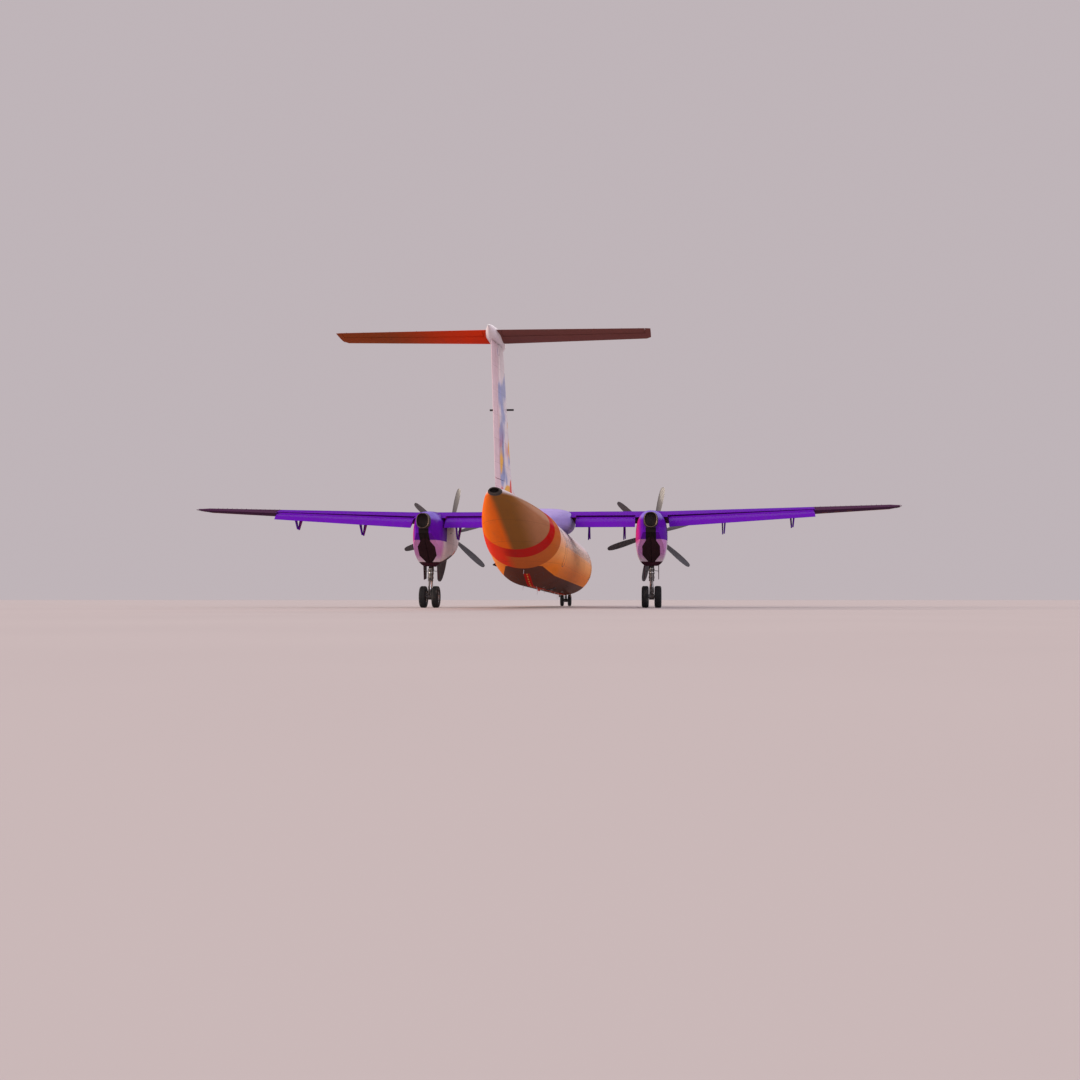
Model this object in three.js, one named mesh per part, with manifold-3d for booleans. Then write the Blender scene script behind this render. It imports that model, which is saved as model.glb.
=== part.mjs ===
// A regional airliner with a high wing, a T-tail and two six-blade propellers, parked on its gear.
// Millimetres. +X is forward, +Y is the left wing tip, +Z is up. A station is a distance aft of the
// nose tip, and a height is measured from the centreline of the round fuselage.

import * as THREE from 'three';
import { mergeVertices } from 'three/addons/utils/BufferGeometryUtils.js';
import Module from 'manifold-3d';

// Whole aircraft
const GROUND_TILT = 1.0; // degrees, nose down
const AXIS_HEIGHT = 1792; // height of the centreline above the ground, carried forward to the nose tip
const SEAM = 0.3; // between fixed pieces that meet
const CLEARANCE = 8; // around pieces that move

// Fuselage
const BODY_SIDES = 32;
const RADOME_END = 950;
const NOSE_END = 5300;
const CABIN_END = 20500;
const REAR_END = 29000;
const CONE_END = 31250;
const OUTLET_END = 31480;

// Wing
const CENTRE_SPAN = 5000; // half of the straight centre section
const WING_INCIDENCE = 1.5;
const WING_CAMBER = 0.03;
const FLAP_NOSE = 0.675; // shares of the wing chord
const FLAP_SHROUD = 0.87;
const FLAP_HINGE = { share: 0.806, drop: 0.294 };
const FLAP_ANGLE = 33; // landing setting
const AILERON_CUT = 0.72;
const AILERON_TRAVEL = 20;

// Tail
const TAIL_HEIGHT = 5840;
const TAIL_SPAN = 4635; // half
const ELEVATOR_CUT = 0.66;
const ELEVATOR_TRAVEL = [-20, 25];
const RUDDER_CUT = 0.62;
const TAB_CUT = 0.8;
const RUDDER_TRAVEL = 18;

// Engines
const NACELLE_Y = 4400;
const THRUST_HEIGHT = 1120;
const PROP_STATION = 11450;
const PROP_BLADES = 6;
const PROP_PHASE = 12; // degrees
const ENGINE = { start: 11800, length: 2100, width: 767, height: 1100, chamfer: 280, centre: 1000 };

// Landing gear
const MAIN_STATION = 16500;
const MAIN_TYRE = { radius: 432, width: 273, rim: 226, spacing: 500, segments: 36 };
const NOSE_STATION = 2570;
const NOSE_TYRE = { radius: 279.5, width: 165, rim: 142, spacing: 370, segments: 30 };
const STEERING_TRAVEL = 70;
const JACK_PAD_RADIUS = 60;

// Front airstair door, on the left
const DOOR = { front: 3970, rear: 4730, sill: -740, head: 960, depth: 60, opens: 122 };

const PAINT = {
  white: { color: 0xe9e4e6, roughness: 0.35, metalness: 0.0 },
  purple: { color: 0x5a1296, roughness: 0.35, metalness: 0.0 },
  orange: { color: 0xd9722e, roughness: 0.4, metalness: 0.0 },
  red: { color: 0xb5281e, roughness: 0.4, metalness: 0.0 },
  belly: { color: 0x4a3b38, roughness: 0.45, metalness: 0.0 },
  dark: { color: 0x2a2226, roughness: 0.5, metalness: 0.1 },
  steel: { color: 0x8d8f94, roughness: 0.35, metalness: 0.8 },
  soot: { color: 0x1d1614, roughness: 0.8, metalness: 0.3 },
  rubber: { color: 0x17171a, roughness: 0.9, metalness: 0.0 },
  blade: { color: 0x25252a, roughness: 0.45, metalness: 0.1 },
};

const SIDES = [
  { name: 'left', sign: 1 },
  { name: 'right', sign: -1 },
];

const wasm = await Module();
wasm.setup();

const degrees = THREE.MathUtils.degToRad;
const GROUP = new THREE.Group();
const airframe = new THREE.Group();
airframe.rotation.y = degrees(GROUND_TILT);
airframe.position.z = AXIS_HEIGHT;
GROUP.add(airframe);

// A point from its station, its distance to the left and its height.
function at(station, y, height) {
  return new THREE.Vector3(-station, y, height);
}

// Height of a wheel's centre above the centreline, for a wheel whose flats rest on the ground.
function wheelHeight(station, tyre) {
  const flat = tyre.radius * Math.cos(Math.PI / tyre.segments);
  const tilt = degrees(GROUND_TILT);
  return (flat - AXIS_HEIGHT - station * Math.sin(tilt)) / Math.cos(tilt);
}

// Values of a table's row, worked out between the two rows around a key.
function between(rows, key, value) {
  const upper = Math.max(1, rows.findIndex((row, index) => index > 0 && row[key] >= value));
  const index = rows[rows.length - 1][key] < value ? rows.length - 1 : upper;
  const low = rows[index - 1];
  const high = rows[index];
  const share = (value - low[key]) / (high[key] - low[key]);
  const result = {};
  for (const name of Object.keys(low)) {
    result[name] = low[name] + share * (high[name] - low[name]);
  }
  return result;
}

// Rows of numbers under named columns, as a list of records.
function table(columns, rows) {
  return rows.map((row) => Object.fromEntries(columns.map((name, index) => [name, row[index]])));
}

function geometryOf(points, triangles) {
  const geometry = new THREE.BufferGeometry();
  geometry.setFromPoints(points);
  geometry.setIndex(triangles.flat());
  return geometry;
}

function signedVolume(points, triangles) {
  let sum = 0;
  for (const [a, b, c] of triangles) {
    sum += points[a].dot(points[b].clone().cross(points[c]));
  }
  return sum / 6;
}

// Triangles over a flat ring, wound along the ring's own order.
function capTriangles(ring) {
  const normal = new THREE.Vector3();
  ring.forEach((point, index) => {
    normal.add(point.clone().cross(ring[(index + 1) % ring.length]));
  });
  const sizes = normal.toArray().map(Math.abs);
  const dropped = sizes.indexOf(Math.max(...sizes));
  const kept = [0, 1, 2].filter((axis) => axis !== dropped);
  const flat = ring.map((p) => new THREE.Vector2(p.getComponent(kept[0]), p.getComponent(kept[1])));
  const area = THREE.ShapeUtils.area(flat);
  return THREE.ShapeUtils.triangulateShape(flat, []).map(([a, b, c]) => {
    const turn = THREE.ShapeUtils.area([flat[a], flat[b], flat[c]]);
    return turn * area > 0 ? [a, b, c] : [a, c, b];
  });
}

// A solid skinned over rings that have equal numbers of points, with both ends closed.
function loft(rings) {
  const count = rings[0].length;
  const last = (rings.length - 1) * count;
  const points = rings.flat();
  const triangles = [];
  for (let start = 0; start < last; start += count) {
    for (let i = 0; i < count; i++) {
      const next = (i + 1) % count;
      triangles.push([start + i, start + next, start + count + next]);
      triangles.push([start + i, start + count + next, start + count + i]);
    }
  }
  capTriangles(rings[0]).forEach(([a, b, c]) => triangles.push([c, b, a]));
  capTriangles(rings[rings.length - 1]).forEach((t) => triangles.push(t.map((i) => i + last)));
  const outward = signedVolume(points, triangles) > 0;
  return geometryOf(points, outward ? triangles : triangles.map(([a, b, c]) => [a, c, b]));
}

function solidFrom(geometry) {
  const bare = geometry.clone();
  bare.deleteAttribute('normal');
  bare.deleteAttribute('uv');
  const merged = mergeVertices(bare, 1e-3);
  const index = Array.from(merged.index.array);
  const triangles = [];
  for (let i = 0; i < index.length; i += 3) {
    const [a, b, c] = index.slice(i, i + 3);
    if (a !== b && b !== c && a !== c) {
      triangles.push(a, b, c);
    }
  }
  return new wasm.Manifold(new wasm.Mesh({
    numProp: 3,
    vertProperties: new Float32Array(merged.getAttribute('position').array),
    triVerts: new Uint32Array(triangles),
  }));
}

function geometryFrom(solid) {
  const mesh = solid.getMesh();
  const geometry = new THREE.BufferGeometry();
  geometry.setAttribute('position', new THREE.BufferAttribute(mesh.vertProperties, 3));
  geometry.setIndex(new THREE.BufferAttribute(mesh.triVerts, 1));
  return geometry;
}

function join(...pieces) {
  return geometryFrom(pieces.map(solidFrom).reduce((sum, piece) => sum.add(piece)));
}

function cut(body, ...tools) {
  return geometryFrom(tools.map(solidFrom).reduce((rest, tool) => rest.subtract(tool), solidFrom(body)));
}

function common(...pieces) {
  return geometryFrom(pieces.map(solidFrom).reduce((shared, piece) => shared.intersect(piece)));
}

// A box between two stations, two distances to the left and two heights.
function block(front, rear, right, left, low, high) {
  const box = new THREE.BoxGeometry(rear - front, left - right, high - low);
  return box.translate(-(front + rear) / 2, (left + right) / 2, (low + high) / 2);
}

// A round bar from one point to another.
function rod(from, to, radius, sides = 16) {
  const along = to.clone().sub(from);
  const bar = new THREE.CylinderGeometry(radius, radius, along.length(), sides);
  const turn = new THREE.Quaternion().setFromUnitVectors(new THREE.Vector3(0, 1, 0), along.normalize());
  const middle = from.clone().add(to).multiplyScalar(0.5);
  return bar.applyQuaternion(turn).translate(middle.x, middle.y, middle.z);
}

// A flat plate: an outline of [station, height] pairs, between two distances to the left.
function plate(outline, right, left) {
  return loft([right, left].map((y) => outline.map(([station, height]) => at(station, y, height))));
}

// An upright ring across the fuselage axis, between ellipse and rounded box.
function crossRing(row, sides, roundness, y = 0) {
  const middle = (row.top + row.bottom) / 2;
  const half = (row.top - row.bottom) / 2;
  return Array.from({ length: sides }, (_, index) => {
    const angle = (2 * Math.PI * (index + 0.5)) / sides;
    const side = Math.sign(Math.cos(angle)) * Math.abs(Math.cos(angle)) ** (2 / roundness);
    const up = Math.sign(Math.sin(angle)) * Math.abs(Math.sin(angle)) ** (2 / roundness);
    return at(row.station, y + row.halfWidth * side, middle + half * up);
  });
}

function addMesh(name, geometry, paint, parent = airframe) {
  const material = new THREE.MeshStandardMaterial({ ...PAINT[paint], flatShading: true });
  const mesh = new THREE.Mesh(geometry, material);
  mesh.name = name;
  parent.add(mesh);
  return mesh;
}

// A group that turns about an axis through a point, with its pieces given in its parent's frame.
function addPivot(joint, point, axis, travel, angle = 0, parent = airframe) {
  const pivot = new THREE.Group();
  pivot.position.copy(point);
  pivot.quaternion.setFromAxisAngle(axis, degrees(angle));
  pivot.userData = { joint, axis: axis.toArray(), travel };
  parent.add(pivot);
  const frame = new THREE.Group();
  frame.position.copy(point).negate();
  pivot.add(frame);
  return frame;
}

// Fuselage

const BODY = table(['station', 'halfWidth', 'bottom', 'top'], [
  [0, 60, -520, -400],
  [150, 300, -770, -190],
  [400, 490, -905, -5],
  [950, 760, -1050, 225],
  [1500, 960, -1140, 405],
  [1900, 1070, -1190, 520],
  [2450, 1190, -1235, 960],
  [2900, 1260, -1270, 1190],
  [3500, 1320, -1310, 1300],
  [4600, 1345, -1345, 1345],
  [5300, 1345, -1345, 1345],
  [20500, 1345, -1345, 1345],
  [22500, 1345, -887, 1345],
  [25000, 1180, -314, 1345],
  [27000, 950, 143, 1345],
  [29000, 650, 601, 1345],
  [30500, 390, 945, 1340],
  [31250, 220, 1075, 1330],
  [31480, 170, 1110, 1320],
]);

function bodyShell(from, to, grow = 0) {
  const rows = BODY.filter((row) => row.station > from && row.station < to);
  const ends = [from, to].map((station) => between(BODY, 'station', station));
  const grown = [ends[0], ...rows, ends[1]].map((row) => ({
    station: row.station,
    halfWidth: row.halfWidth + grow,
    bottom: row.bottom - grow,
    top: row.top + grow,
  }));
  return loft(grown.map((row) => crossRing(row, BODY_SIDES, 2)));
}

function buildFuselage() {
  const noseBay = block(2180, 3500, -270, 270, -1500, -560);
  const entry = block(DOOR.front, DOOR.rear, 150, 1500, DOOR.sill, DOOR.head);
  addMesh('radome', bodyShell(0, RADOME_END - SEAM), 'white');
  const jackPad = rod(at(4950, 0, -1200), at(4950, 0, -1375), JACK_PAD_RADIUS, 12);
  const shell = cut(bodyShell(RADOME_END, NOSE_END - SEAM), noseBay, entry);
  addMesh('nose_fuselage', join(shell, jackPad), 'white');
  addMesh('cabin_fuselage', bodyShell(NOSE_END, CABIN_END - SEAM), 'white');
  addMesh('rear_fuselage', bodyShell(CABIN_END, REAR_END - SEAM), 'orange');
  addMesh('tail_cone', bodyShell(REAR_END, CONE_END - SEAM), 'orange');
  const pipe = { station: OUTLET_END + 10, halfWidth: 140, bottom: 1150, top: 1290 };
  const bore = loft([{ ...pipe, station: CONE_END + 60 }, pipe].map((row) => crossRing(row, 16, 2)));
  addMesh('tail_outlet', cut(bodyShell(CONE_END, OUTLET_END), bore), 'soot');
}

// The door is a thick curved panel of the fuselage side, with treads on its inner face.
function buildAirstair() {
  const gap = CLEARANCE;
  const panel = block(DOOR.front + gap, DOOR.rear - gap, 400, 1500, DOOR.sill + gap, DOOR.head - gap);
  const inner = bodyShell(DOOR.front - 100, DOOR.rear + 100, -DOOR.depth);
  const skin = common(cut(bodyShell(DOOR.front - 50, DOOR.rear + 50), inner), panel);
  const hingeHeight = DOOR.sill + gap;
  const hingeY = between(BODY, 'station', NOSE_END).halfWidth * Math.cos(Math.asin(hingeHeight / 1345));
  const treads = [0.17, 0.34, 0.51, 0.68, 0.85].map((share) => {
    const height = DOOR.sill + share * (DOOR.head - DOOR.sill);
    const skinY = 1345 * Math.cos(Math.asin(height / 1345)) - DOOR.depth / 2;
    return block(DOOR.front + 90, DOOR.rear - 90, skinY - 190, skinY, height, height + 25);
  });
  const hinge = at(DOOR.front, hingeY, hingeHeight);
  const pivot = addPivot('airstair_door', hinge, new THREE.Vector3(-1, 0, 0), [0, DOOR.opens]);
  addMesh('airstair_door', join(skin, ...treads), 'white', pivot);
}

// Lifting surfaces

// Heights of the skins at a share of the chord, themselves shares of the chord.
function skins(share, thickness, camber) {
  const half = 5 * thickness * (0.2969 * Math.sqrt(share) - 0.126 * share - 0.3516 * share ** 2
    + 0.2843 * share ** 3 - 0.1036 * share ** 4);
  const peak = 0.4;
  const front = camber / peak ** 2 * (2 * peak * share - share ** 2);
  const rear = camber / (1 - peak) ** 2 * (1 - 2 * peak + 2 * peak * share - share ** 2);
  const mean = share < peak ? front : rear;
  return { upper: mean + half, lower: mean - half };
}

const SECTION_SHARES = [0.01, 0.04, 0.1, 0.2, 0.32, 0.46, 0.6, 0.75, 0.88];

// An aerofoil outline as [share, height] pairs, from its trailing edge over the top and back.
function aerofoil(thickness, camber) {
  const edge = 0.0015;
  const over = SECTION_SHARES.map((share) => [share, skins(share, thickness, camber).upper]);
  const under = SECTION_SHARES.map((share) => [share, skins(share, thickness, camber).lower]);
  return [[1, edge], ...over.reverse(), [0, 0], ...under, [1, -edge]];
}

const WING = table(['span', 'lead', 'height', 'chord', 'thickness'], [
  [0, 13950, 1550, 2700, 0.175],
  [CENTRE_SPAN, 13950, 1550, 2700, 0.175],
  [13850, 14546, 1936, 1287, 0.13],
  [14210, 14930, 1952, 866, 0.09],
]);

// A point on the wing from its span, its share of the chord and its height above the chord line.
function onWing(sign, span, share, rise, grow = 0) {
  const row = between(WING, 'span', span);
  const aft = row.chord * share;
  const height = row.height - aft * Math.tan(degrees(WING_INCIDENCE)) + row.chord * rise;
  return at(row.lead + aft + grow * (share - 0.5), sign * span, height + grow * Math.sign(rise));
}

function wingRing(sign, span, outline, grow = 0) {
  return outline.map(([share, rise]) => onWing(sign, Math.abs(span), share, rise, grow));
}

function wingLoft(sign, spans, grow = 0) {
  return loft(spans.map((span) => {
    const row = between(WING, 'span', Math.abs(span));
    const outline = aerofoil(row.thickness, WING_CAMBER);
    return wingRing(span < 0 ? -sign : sign, span, outline, grow);
  }));
}

// The hollow behind the rear spar that the retracted flap fills, under the upper shroud.
function flapCove(sign, from, to) {
  return loft([from, to].map((span) => {
    const { thickness } = between(WING, 'span', span);
    const front = skins(FLAP_NOSE, thickness, WING_CAMBER).upper;
    const rear = skins(FLAP_SHROUD, thickness, WING_CAMBER).upper;
    const outline = [[FLAP_NOSE, -0.3], [FLAP_NOSE, front - 0.019], [FLAP_SHROUD, rear - 0.006],
      [FLAP_SHROUD, 0.3], [1.1, 0.3], [1.1, -0.3]];
    return wingRing(sign, span, outline);
  }));
}

function aileronGap(sign, from, to) {
  const outline = [[AILERON_CUT, -0.3], [AILERON_CUT, 0.3], [1.1, 0.3], [1.1, -0.3]];
  return loft([from, to].map((span) => wingRing(sign, span, outline)));
}

const FLAPS = table(['inner', 'outer', 'firstArm', 'secondArm'], [
  [1430, 3765, 1900, 3300],
  [5045, 10752, 7200, 9900],
]);
const AILERON_SPAN = [10850, 13800];
const ARM_WIDTH = 44;

function flapHinge(sign, span) {
  return onWing(sign, span, FLAP_HINGE.share, -FLAP_HINGE.drop);
}

// A fixed hanger under the wing that ends beside the flap arm.
function flapHanger(sign, span) {
  const { lead, chord } = between(WING, 'span', span);
  const hinge = flapHinge(sign, span);
  const foot = -hinge.x;
  const low = hinge.z;
  const high = hinge.z + 0.285 * chord;
  const outline = [[lead + 0.42 * chord, high], [foot - 130, low - 20], [foot - 60, low - 80],
    [foot + 30, low - 80], [foot + 30, low + 40], [lead + 0.66 * chord, high]];
  const y = sign * span;
  return plate(outline, y - ARM_WIDTH / 2, y + ARM_WIDTH / 2);
}

// The flap at its retracted place, with the arms that reach down to its hinge line.
function flapShape(sign, row) {
  const body = loft([row.inner, row.outer].map((span) => {
    const { thickness } = between(WING, 'span', span);
    const skin = (share) => skins(share, thickness, WING_CAMBER);
    const drop = (share, part) => skin(share).upper - part;
    const outline = [[1, 0.0015], [0.95, drop(0.95, 0)], [0.9, drop(0.9, 0.004)],
      [0.865, drop(0.865, 0.016)], [0.78, drop(0.78, 0.048)], [0.72, drop(0.72, 0.08)],
      [0.69, skin(0.69).lower + 0.02], [0.695, skin(0.695).lower + 0.007],
      [0.72, skin(0.72).lower + 0.001], [0.8, skin(0.8).lower], [0.9, skin(0.9).lower], [1, -0.0015]];
    return wingRing(sign, span, outline);
  }));
  const arms = [row.firstArm, row.secondArm].map((span) => {
    const hinge = flapHinge(sign, span);
    const { lead, chord } = between(WING, 'span', span);
    const outline = [[lead + 0.74 * chord, hinge.z + 0.29 * chord], [-hinge.x - 55, hinge.z - 20],
      [-hinge.x, hinge.z - 60], [-hinge.x + 55, hinge.z - 20], [lead + 0.86 * chord, hinge.z + 0.293 * chord]];
    const y = sign * (span + ARM_WIDTH + 2 * CLEARANCE);
    return plate(outline, y - ARM_WIDTH / 2, y + ARM_WIDTH / 2);
  });
  return join(body, ...arms);
}

// The front of a moving surface is round about its hinge, so that its gap stays even.
function hingedOutline(cutShare, thickness, camber, chord) {
  const nose = skins(cutShare, thickness, camber);
  const radius = (nose.upper - nose.lower) / 2;
  const middle = (nose.upper + nose.lower) / 2;
  const centre = cutShare + radius + CLEARANCE / chord;
  const round = [60, 90, 120, 150, 180, 210, 240, 270, 300].map((angle) => {
    const turn = degrees(angle);
    return [centre + radius * Math.cos(turn), middle + radius * Math.sin(turn) * 0.98];
  });
  const over = [0.96, 0.9].map((share) => [share, skins(share, thickness, camber).upper]);
  const under = [0.9, 0.96].map((share) => [share, skins(share, thickness, camber).lower]);
  return { outline: [[1, 0.0015], ...over, ...round, ...under, [1, -0.0015]], centre, middle };
}

function buildWing() {
  const spans = [-CENTRE_SPAN, CENTRE_SPAN];
  const coves = SIDES.map(({ sign }) => flapCove(sign, FLAPS[0].inner - 12, FLAPS[0].outer + 8));
  const hangers = SIDES.flatMap(({ sign }) => [FLAPS[0].firstArm, FLAPS[0].secondArm]
    .map((span) => flapHanger(sign, span)));
  addMesh('wing_center', join(cut(wingLoft(1, spans), ...coves), ...hangers), 'belly');

  for (const { name, sign } of SIDES) {
    const skin = wingLoft(sign, [CENTRE_SPAN + SEAM, 13850, 14210]);
    const cove = flapCove(sign, FLAPS[1].inner - 12, FLAPS[1].outer + 50);
    const gap = aileronGap(sign, AILERON_SPAN[0] - 12, AILERON_SPAN[1] + 12);
    const outerHangers = [FLAPS[1].firstArm, FLAPS[1].secondArm].map((span) => flapHanger(sign, span));
    addMesh(`wing_${name}`, join(cut(skin, cove, gap), ...outerHangers), 'belly');

    for (const [index, row] of FLAPS.entries()) {
      const place = index === 0 ? 'inner' : 'outer';
      const near = flapHinge(sign, row.inner);
      const axis = flapHinge(sign, row.outer).sub(near).multiplyScalar(sign).normalize();
      const pivot = addPivot(`flap_${place}_${name}`, near, axis, [0, FLAP_ANGLE], -FLAP_ANGLE);
      addMesh(`flap_${place}_${name}`, flapShape(sign, row), 'purple', pivot);
    }

    const rings = AILERON_SPAN.map((span) => {
      const { thickness, chord } = between(WING, 'span', span);
      const shape = hingedOutline(AILERON_CUT, thickness, WING_CAMBER, chord);
      return { points: wingRing(sign, span, shape.outline), hinge: onWing(sign, span, shape.centre, shape.middle) };
    });
    const axis = rings[1].hinge.clone().sub(rings[0].hinge).multiplyScalar(sign).normalize();
    const travel = [-AILERON_TRAVEL, AILERON_TRAVEL];
    const pivot = addPivot(`aileron_${name}`, rings[0].hinge, axis, travel);
    addMesh(`aileron_${name}`, loft(rings.map((ring) => ring.points)), 'belly', pivot);
  }
}

// The saddle that carries the wing on top of the cabin.
const FAIRING = table(['station', 'halfWidth', 'bottom', 'top'], [
  [12300, 420, 900, 1370],
  [12900, 860, 900, 1590],
  [13700, 1150, 900, 1810],
  [14700, 1270, 900, 1905],
  [15700, 1290, 900, 1900],
  [16700, 1220, 900, 1790],
  [17700, 950, 900, 1590],
  [18700, 420, 900, 1370],
]);

function buildFairing() {
  const saddle = loft(FAIRING.map((row) => crossRing(row, 24, 3)));
  const spans = [-CENTRE_SPAN, CENTRE_SPAN];
  const wing = wingLoft(1, spans, SEAM * 2);
  addMesh('wing_fairing', cut(saddle, bodyShell(NOSE_END, CABIN_END, SEAM), wing), 'white');
}

// Tail

const FIN = table(['height', 'lead', 'chord', 'thickness'], [
  [1150, 27560, 3560, 0.11],
  [1950, 28000, 3310, 0.11],
  [5600, 30000, 2300, 0.12],
]);
const DORSAL = table(['station', 'halfWidth', 'bottom', 'top'], [
  [23700, 25, 1200, 1350],
  [25900, 70, 1200, 1540],
  [27300, 110, 1200, 1800],
  [28300, 150, 1200, 2400],
  [28900, 150, 1200, 2500],
]);
const RUDDER_HEIGHTS = [1640, 5560];

function onFin(height, share, offset) {
  const row = between(FIN, 'height', height);
  return at(row.lead + row.chord * share, row.chord * offset, height);
}

function finRing(height, outline) {
  return outline.map(([share, offset]) => onFin(height, share, offset));
}

function finLoft(heights, outlineAt) {
  return loft(heights.map((height) => finRing(height, outlineAt(between(FIN, 'height', height)))));
}

function rudderPart(front, rear) {
  const shapes = RUDDER_HEIGHTS.map((height) => {
    const row = between(FIN, 'height', height);
    const { outline, centre } = hingedOutline(front, row.thickness, 0, row.chord);
    const kept = outline.filter(([share]) => share < Math.min(rear, 0.85));
    const end = skins(Math.min(rear, 1), row.thickness, 0).upper;
    const tail = rear < 1 ? [[rear, end], ...kept, [rear, -end]] : outline;
    return { points: finRing(height, tail), hinge: onFin(height, centre, 0) };
  });
  const axis = shapes[1].hinge.clone().sub(shapes[0].hinge).normalize();
  return { shape: loft(shapes.map(({ points }) => points)), hinge: shapes[0].hinge, axis };
}

// A dark plate that slopes out and down from the left flank behind the wing.
const SIDE_PLATE = { rear: [18200, 17500], front: [15900, 15350], across: [1200, 1760], height: [-170, -420] };

function buildSidePlate() {
  const rings = [0, 1].map((end) => [[1, 18], [0, 18], [0, -18], [1, -18]].map(([aft, rise]) => {
    const station = aft ? SIDE_PLATE.rear[end] : SIDE_PLATE.front[end];
    return at(station, SIDE_PLATE.across[end], SIDE_PLATE.height[end] + rise);
  }));
  addMesh('side_plate', cut(loft(rings), bodyShell(15000, 19000, SEAM)), 'dark');
}

function buildFin() {
  const whole = finLoft([1150, 1950, 5600], (row) => aerofoil(row.thickness, 0));
  const behind = (height) => [[RUDDER_CUT, -0.2], [RUDDER_CUT, 0.2], [1.2, 0.2], [1.2, -0.2]]
    .map(([share, offset]) => onFin(height, share, offset));
  const opening = loft([RUDDER_HEIGHTS[0] - 4 * CLEARANCE, 6000].map(behind));
  const dorsal = loft(DORSAL.map((row) => crossRing(row, 12, 1.6)));
  const rods = rod(at(29600, -370, 3880), at(29600, 370, 3880), 14, 8);
  const body = bodyShell(CABIN_END, CONE_END, SEAM * 2);
  addMesh('fin', cut(join(whole, dorsal, rods), opening, body), 'white');

  const fore = rudderPart(RUDDER_CUT, TAB_CUT);
  const travel = [-RUDDER_TRAVEL, RUDDER_TRAVEL];
  const forePivot = addPivot('rudder', fore.hinge, fore.axis, travel);
  addMesh('rudder_fore', fore.shape, 'white', forePivot);
  const aft = rudderPart(TAB_CUT, 1.0001);
  const aftPivot = addPivot('rudder_trailing', aft.hinge, aft.axis, travel, 0, forePivot);
  addMesh('rudder_trailing', aft.shape, 'white', aftPivot);
}

const TAILPLANE = table(['span', 'lead', 'chord', 'thickness'], [
  [0, 30450, 1900, 0.13],
  [TAIL_SPAN - 120, 30820, 1400, 0.11],
  [TAIL_SPAN, 30950, 1230, 0.08],
]);
const ELEVATOR_SPAN = [290, TAIL_SPAN - 170];

function onTailplane(sign, span, share, rise, grow = 0) {
  const row = between(TAILPLANE, 'span', span);
  const station = row.lead + row.chord * share + grow * (share - 0.5);
  return at(station, sign * span, TAIL_HEIGHT + row.chord * rise + grow * Math.sign(rise));
}

function tailplaneLoft(grow = 0) {
  const spans = [-TAIL_SPAN, 120 - TAIL_SPAN, 0, TAIL_SPAN - 120, TAIL_SPAN];
  return loft(spans.map((span) => {
    const { thickness } = between(TAILPLANE, 'span', Math.abs(span));
    const sign = span < 0 ? -1 : 1;
    return aerofoil(thickness, 0).map(([share, rise]) => onTailplane(sign, Math.abs(span), share, rise, grow));
  }));
}

const BULLET = table(['station', 'halfWidth', 'bottom', 'top'], [
  [29600, 30, 5700, 5780],
  [29800, 105, 5640, 5860],
  [30200, 180, 5600, 5940],
  [30900, 225, 5602, 6000],
  [31700, 225, 5602, 6000],
  [32300, 160, 5640, 5980],
  [32700, 80, 5740, 5930],
  [32950, 18, 5840, 5880],
]);

function buildTailplane() {
  const gaps = SIDES.map(({ sign }) => {
    const outline = [[ELEVATOR_CUT, -0.3], [ELEVATOR_CUT, 0.3], [1.1, 0.3], [1.1, -0.3]];
    return loft([ELEVATOR_SPAN[0] - 12, ELEVATOR_SPAN[1] + 12].map((span) => outline
      .map(([share, rise]) => onTailplane(sign, span, share, rise))));
  });
  addMesh('tailplane', cut(tailplaneLoft(), ...gaps), 'belly');
  const bullet = loft(BULLET.map((row) => crossRing(row, 16, 2)));
  const finTop = finLoft([5500, 5600 + SEAM * 2], (row) => aerofoil(row.thickness * 1.02, 0));
  addMesh('bullet_fairing', cut(bullet, tailplaneLoft(SEAM * 2), finTop), 'white');

  for (const { name, sign } of SIDES) {
    const rings = ELEVATOR_SPAN.map((span) => {
      const row = between(TAILPLANE, 'span', span);
      const shape = hingedOutline(ELEVATOR_CUT, row.thickness, 0, row.chord);
      const points = shape.outline.map(([share, rise]) => onTailplane(sign, span, share, rise));
      return { points, hinge: onTailplane(sign, span, shape.centre, 0) };
    });
    const axis = rings[1].hinge.clone().sub(rings[0].hinge).multiplyScalar(sign).normalize();
    const pivot = addPivot(`elevator_${name}`, rings[0].hinge, axis, ELEVATOR_TRAVEL);
    addMesh(`elevator_${name}`, loft(rings.map((ring) => ring.points)), 'belly', pivot);
  }
}

// Engines and nacelles

const NACELLE = table(['station', 'halfWidth', 'bottom', 'top'], [
  [11620, 420, 660, 1545],
  [11800, 455, 400, 1590],
  [12200, 520, 210, 1650],
  [13000, 595, 40, 1750],
  [13900, 620, -120, 1815],
  [14900, 622, -270, 1800],
  [15700, 622, -400, 1790],
  [16400, 622, -470, 1760],
  [17200, 560, -330, 1700],
  [18060, 300, 300, 1600],
]);
const NACELLE_SIDES = 24;
const NACELLE_ROUNDNESS = 2.5;
// The flat lower rear face slopes up from the leg to the exhaust.
const SLOPE = { station: 16330, height: -500, rise: 37 };
const AFT_DOOR = table(['along', 'across'], [
  [330, 110],
  [780, 345],
  [1330, 345],
  [1840, 120],
]);
const AFT_DOOR_DEPTH = 35;
const AFT_DOOR_OPENS = 80;
const TRUNNION = { station: 15950, height: 250 };

function onSlope(y, along, across, inward) {
  const rise = degrees(SLOPE.rise);
  const station = SLOPE.station + along * Math.cos(rise) - inward * Math.sin(rise);
  return at(station, y + across, SLOPE.height + along * Math.sin(rise) + inward * Math.cos(rise));
}

// A prism whose outline lies in the sloping face, between two depths inside it.
function slopePrism(y, outline, low, high) {
  return loft([low, high].map((inward) => outline.map(([along, across]) => onSlope(y, along, across, inward))));
}

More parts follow.
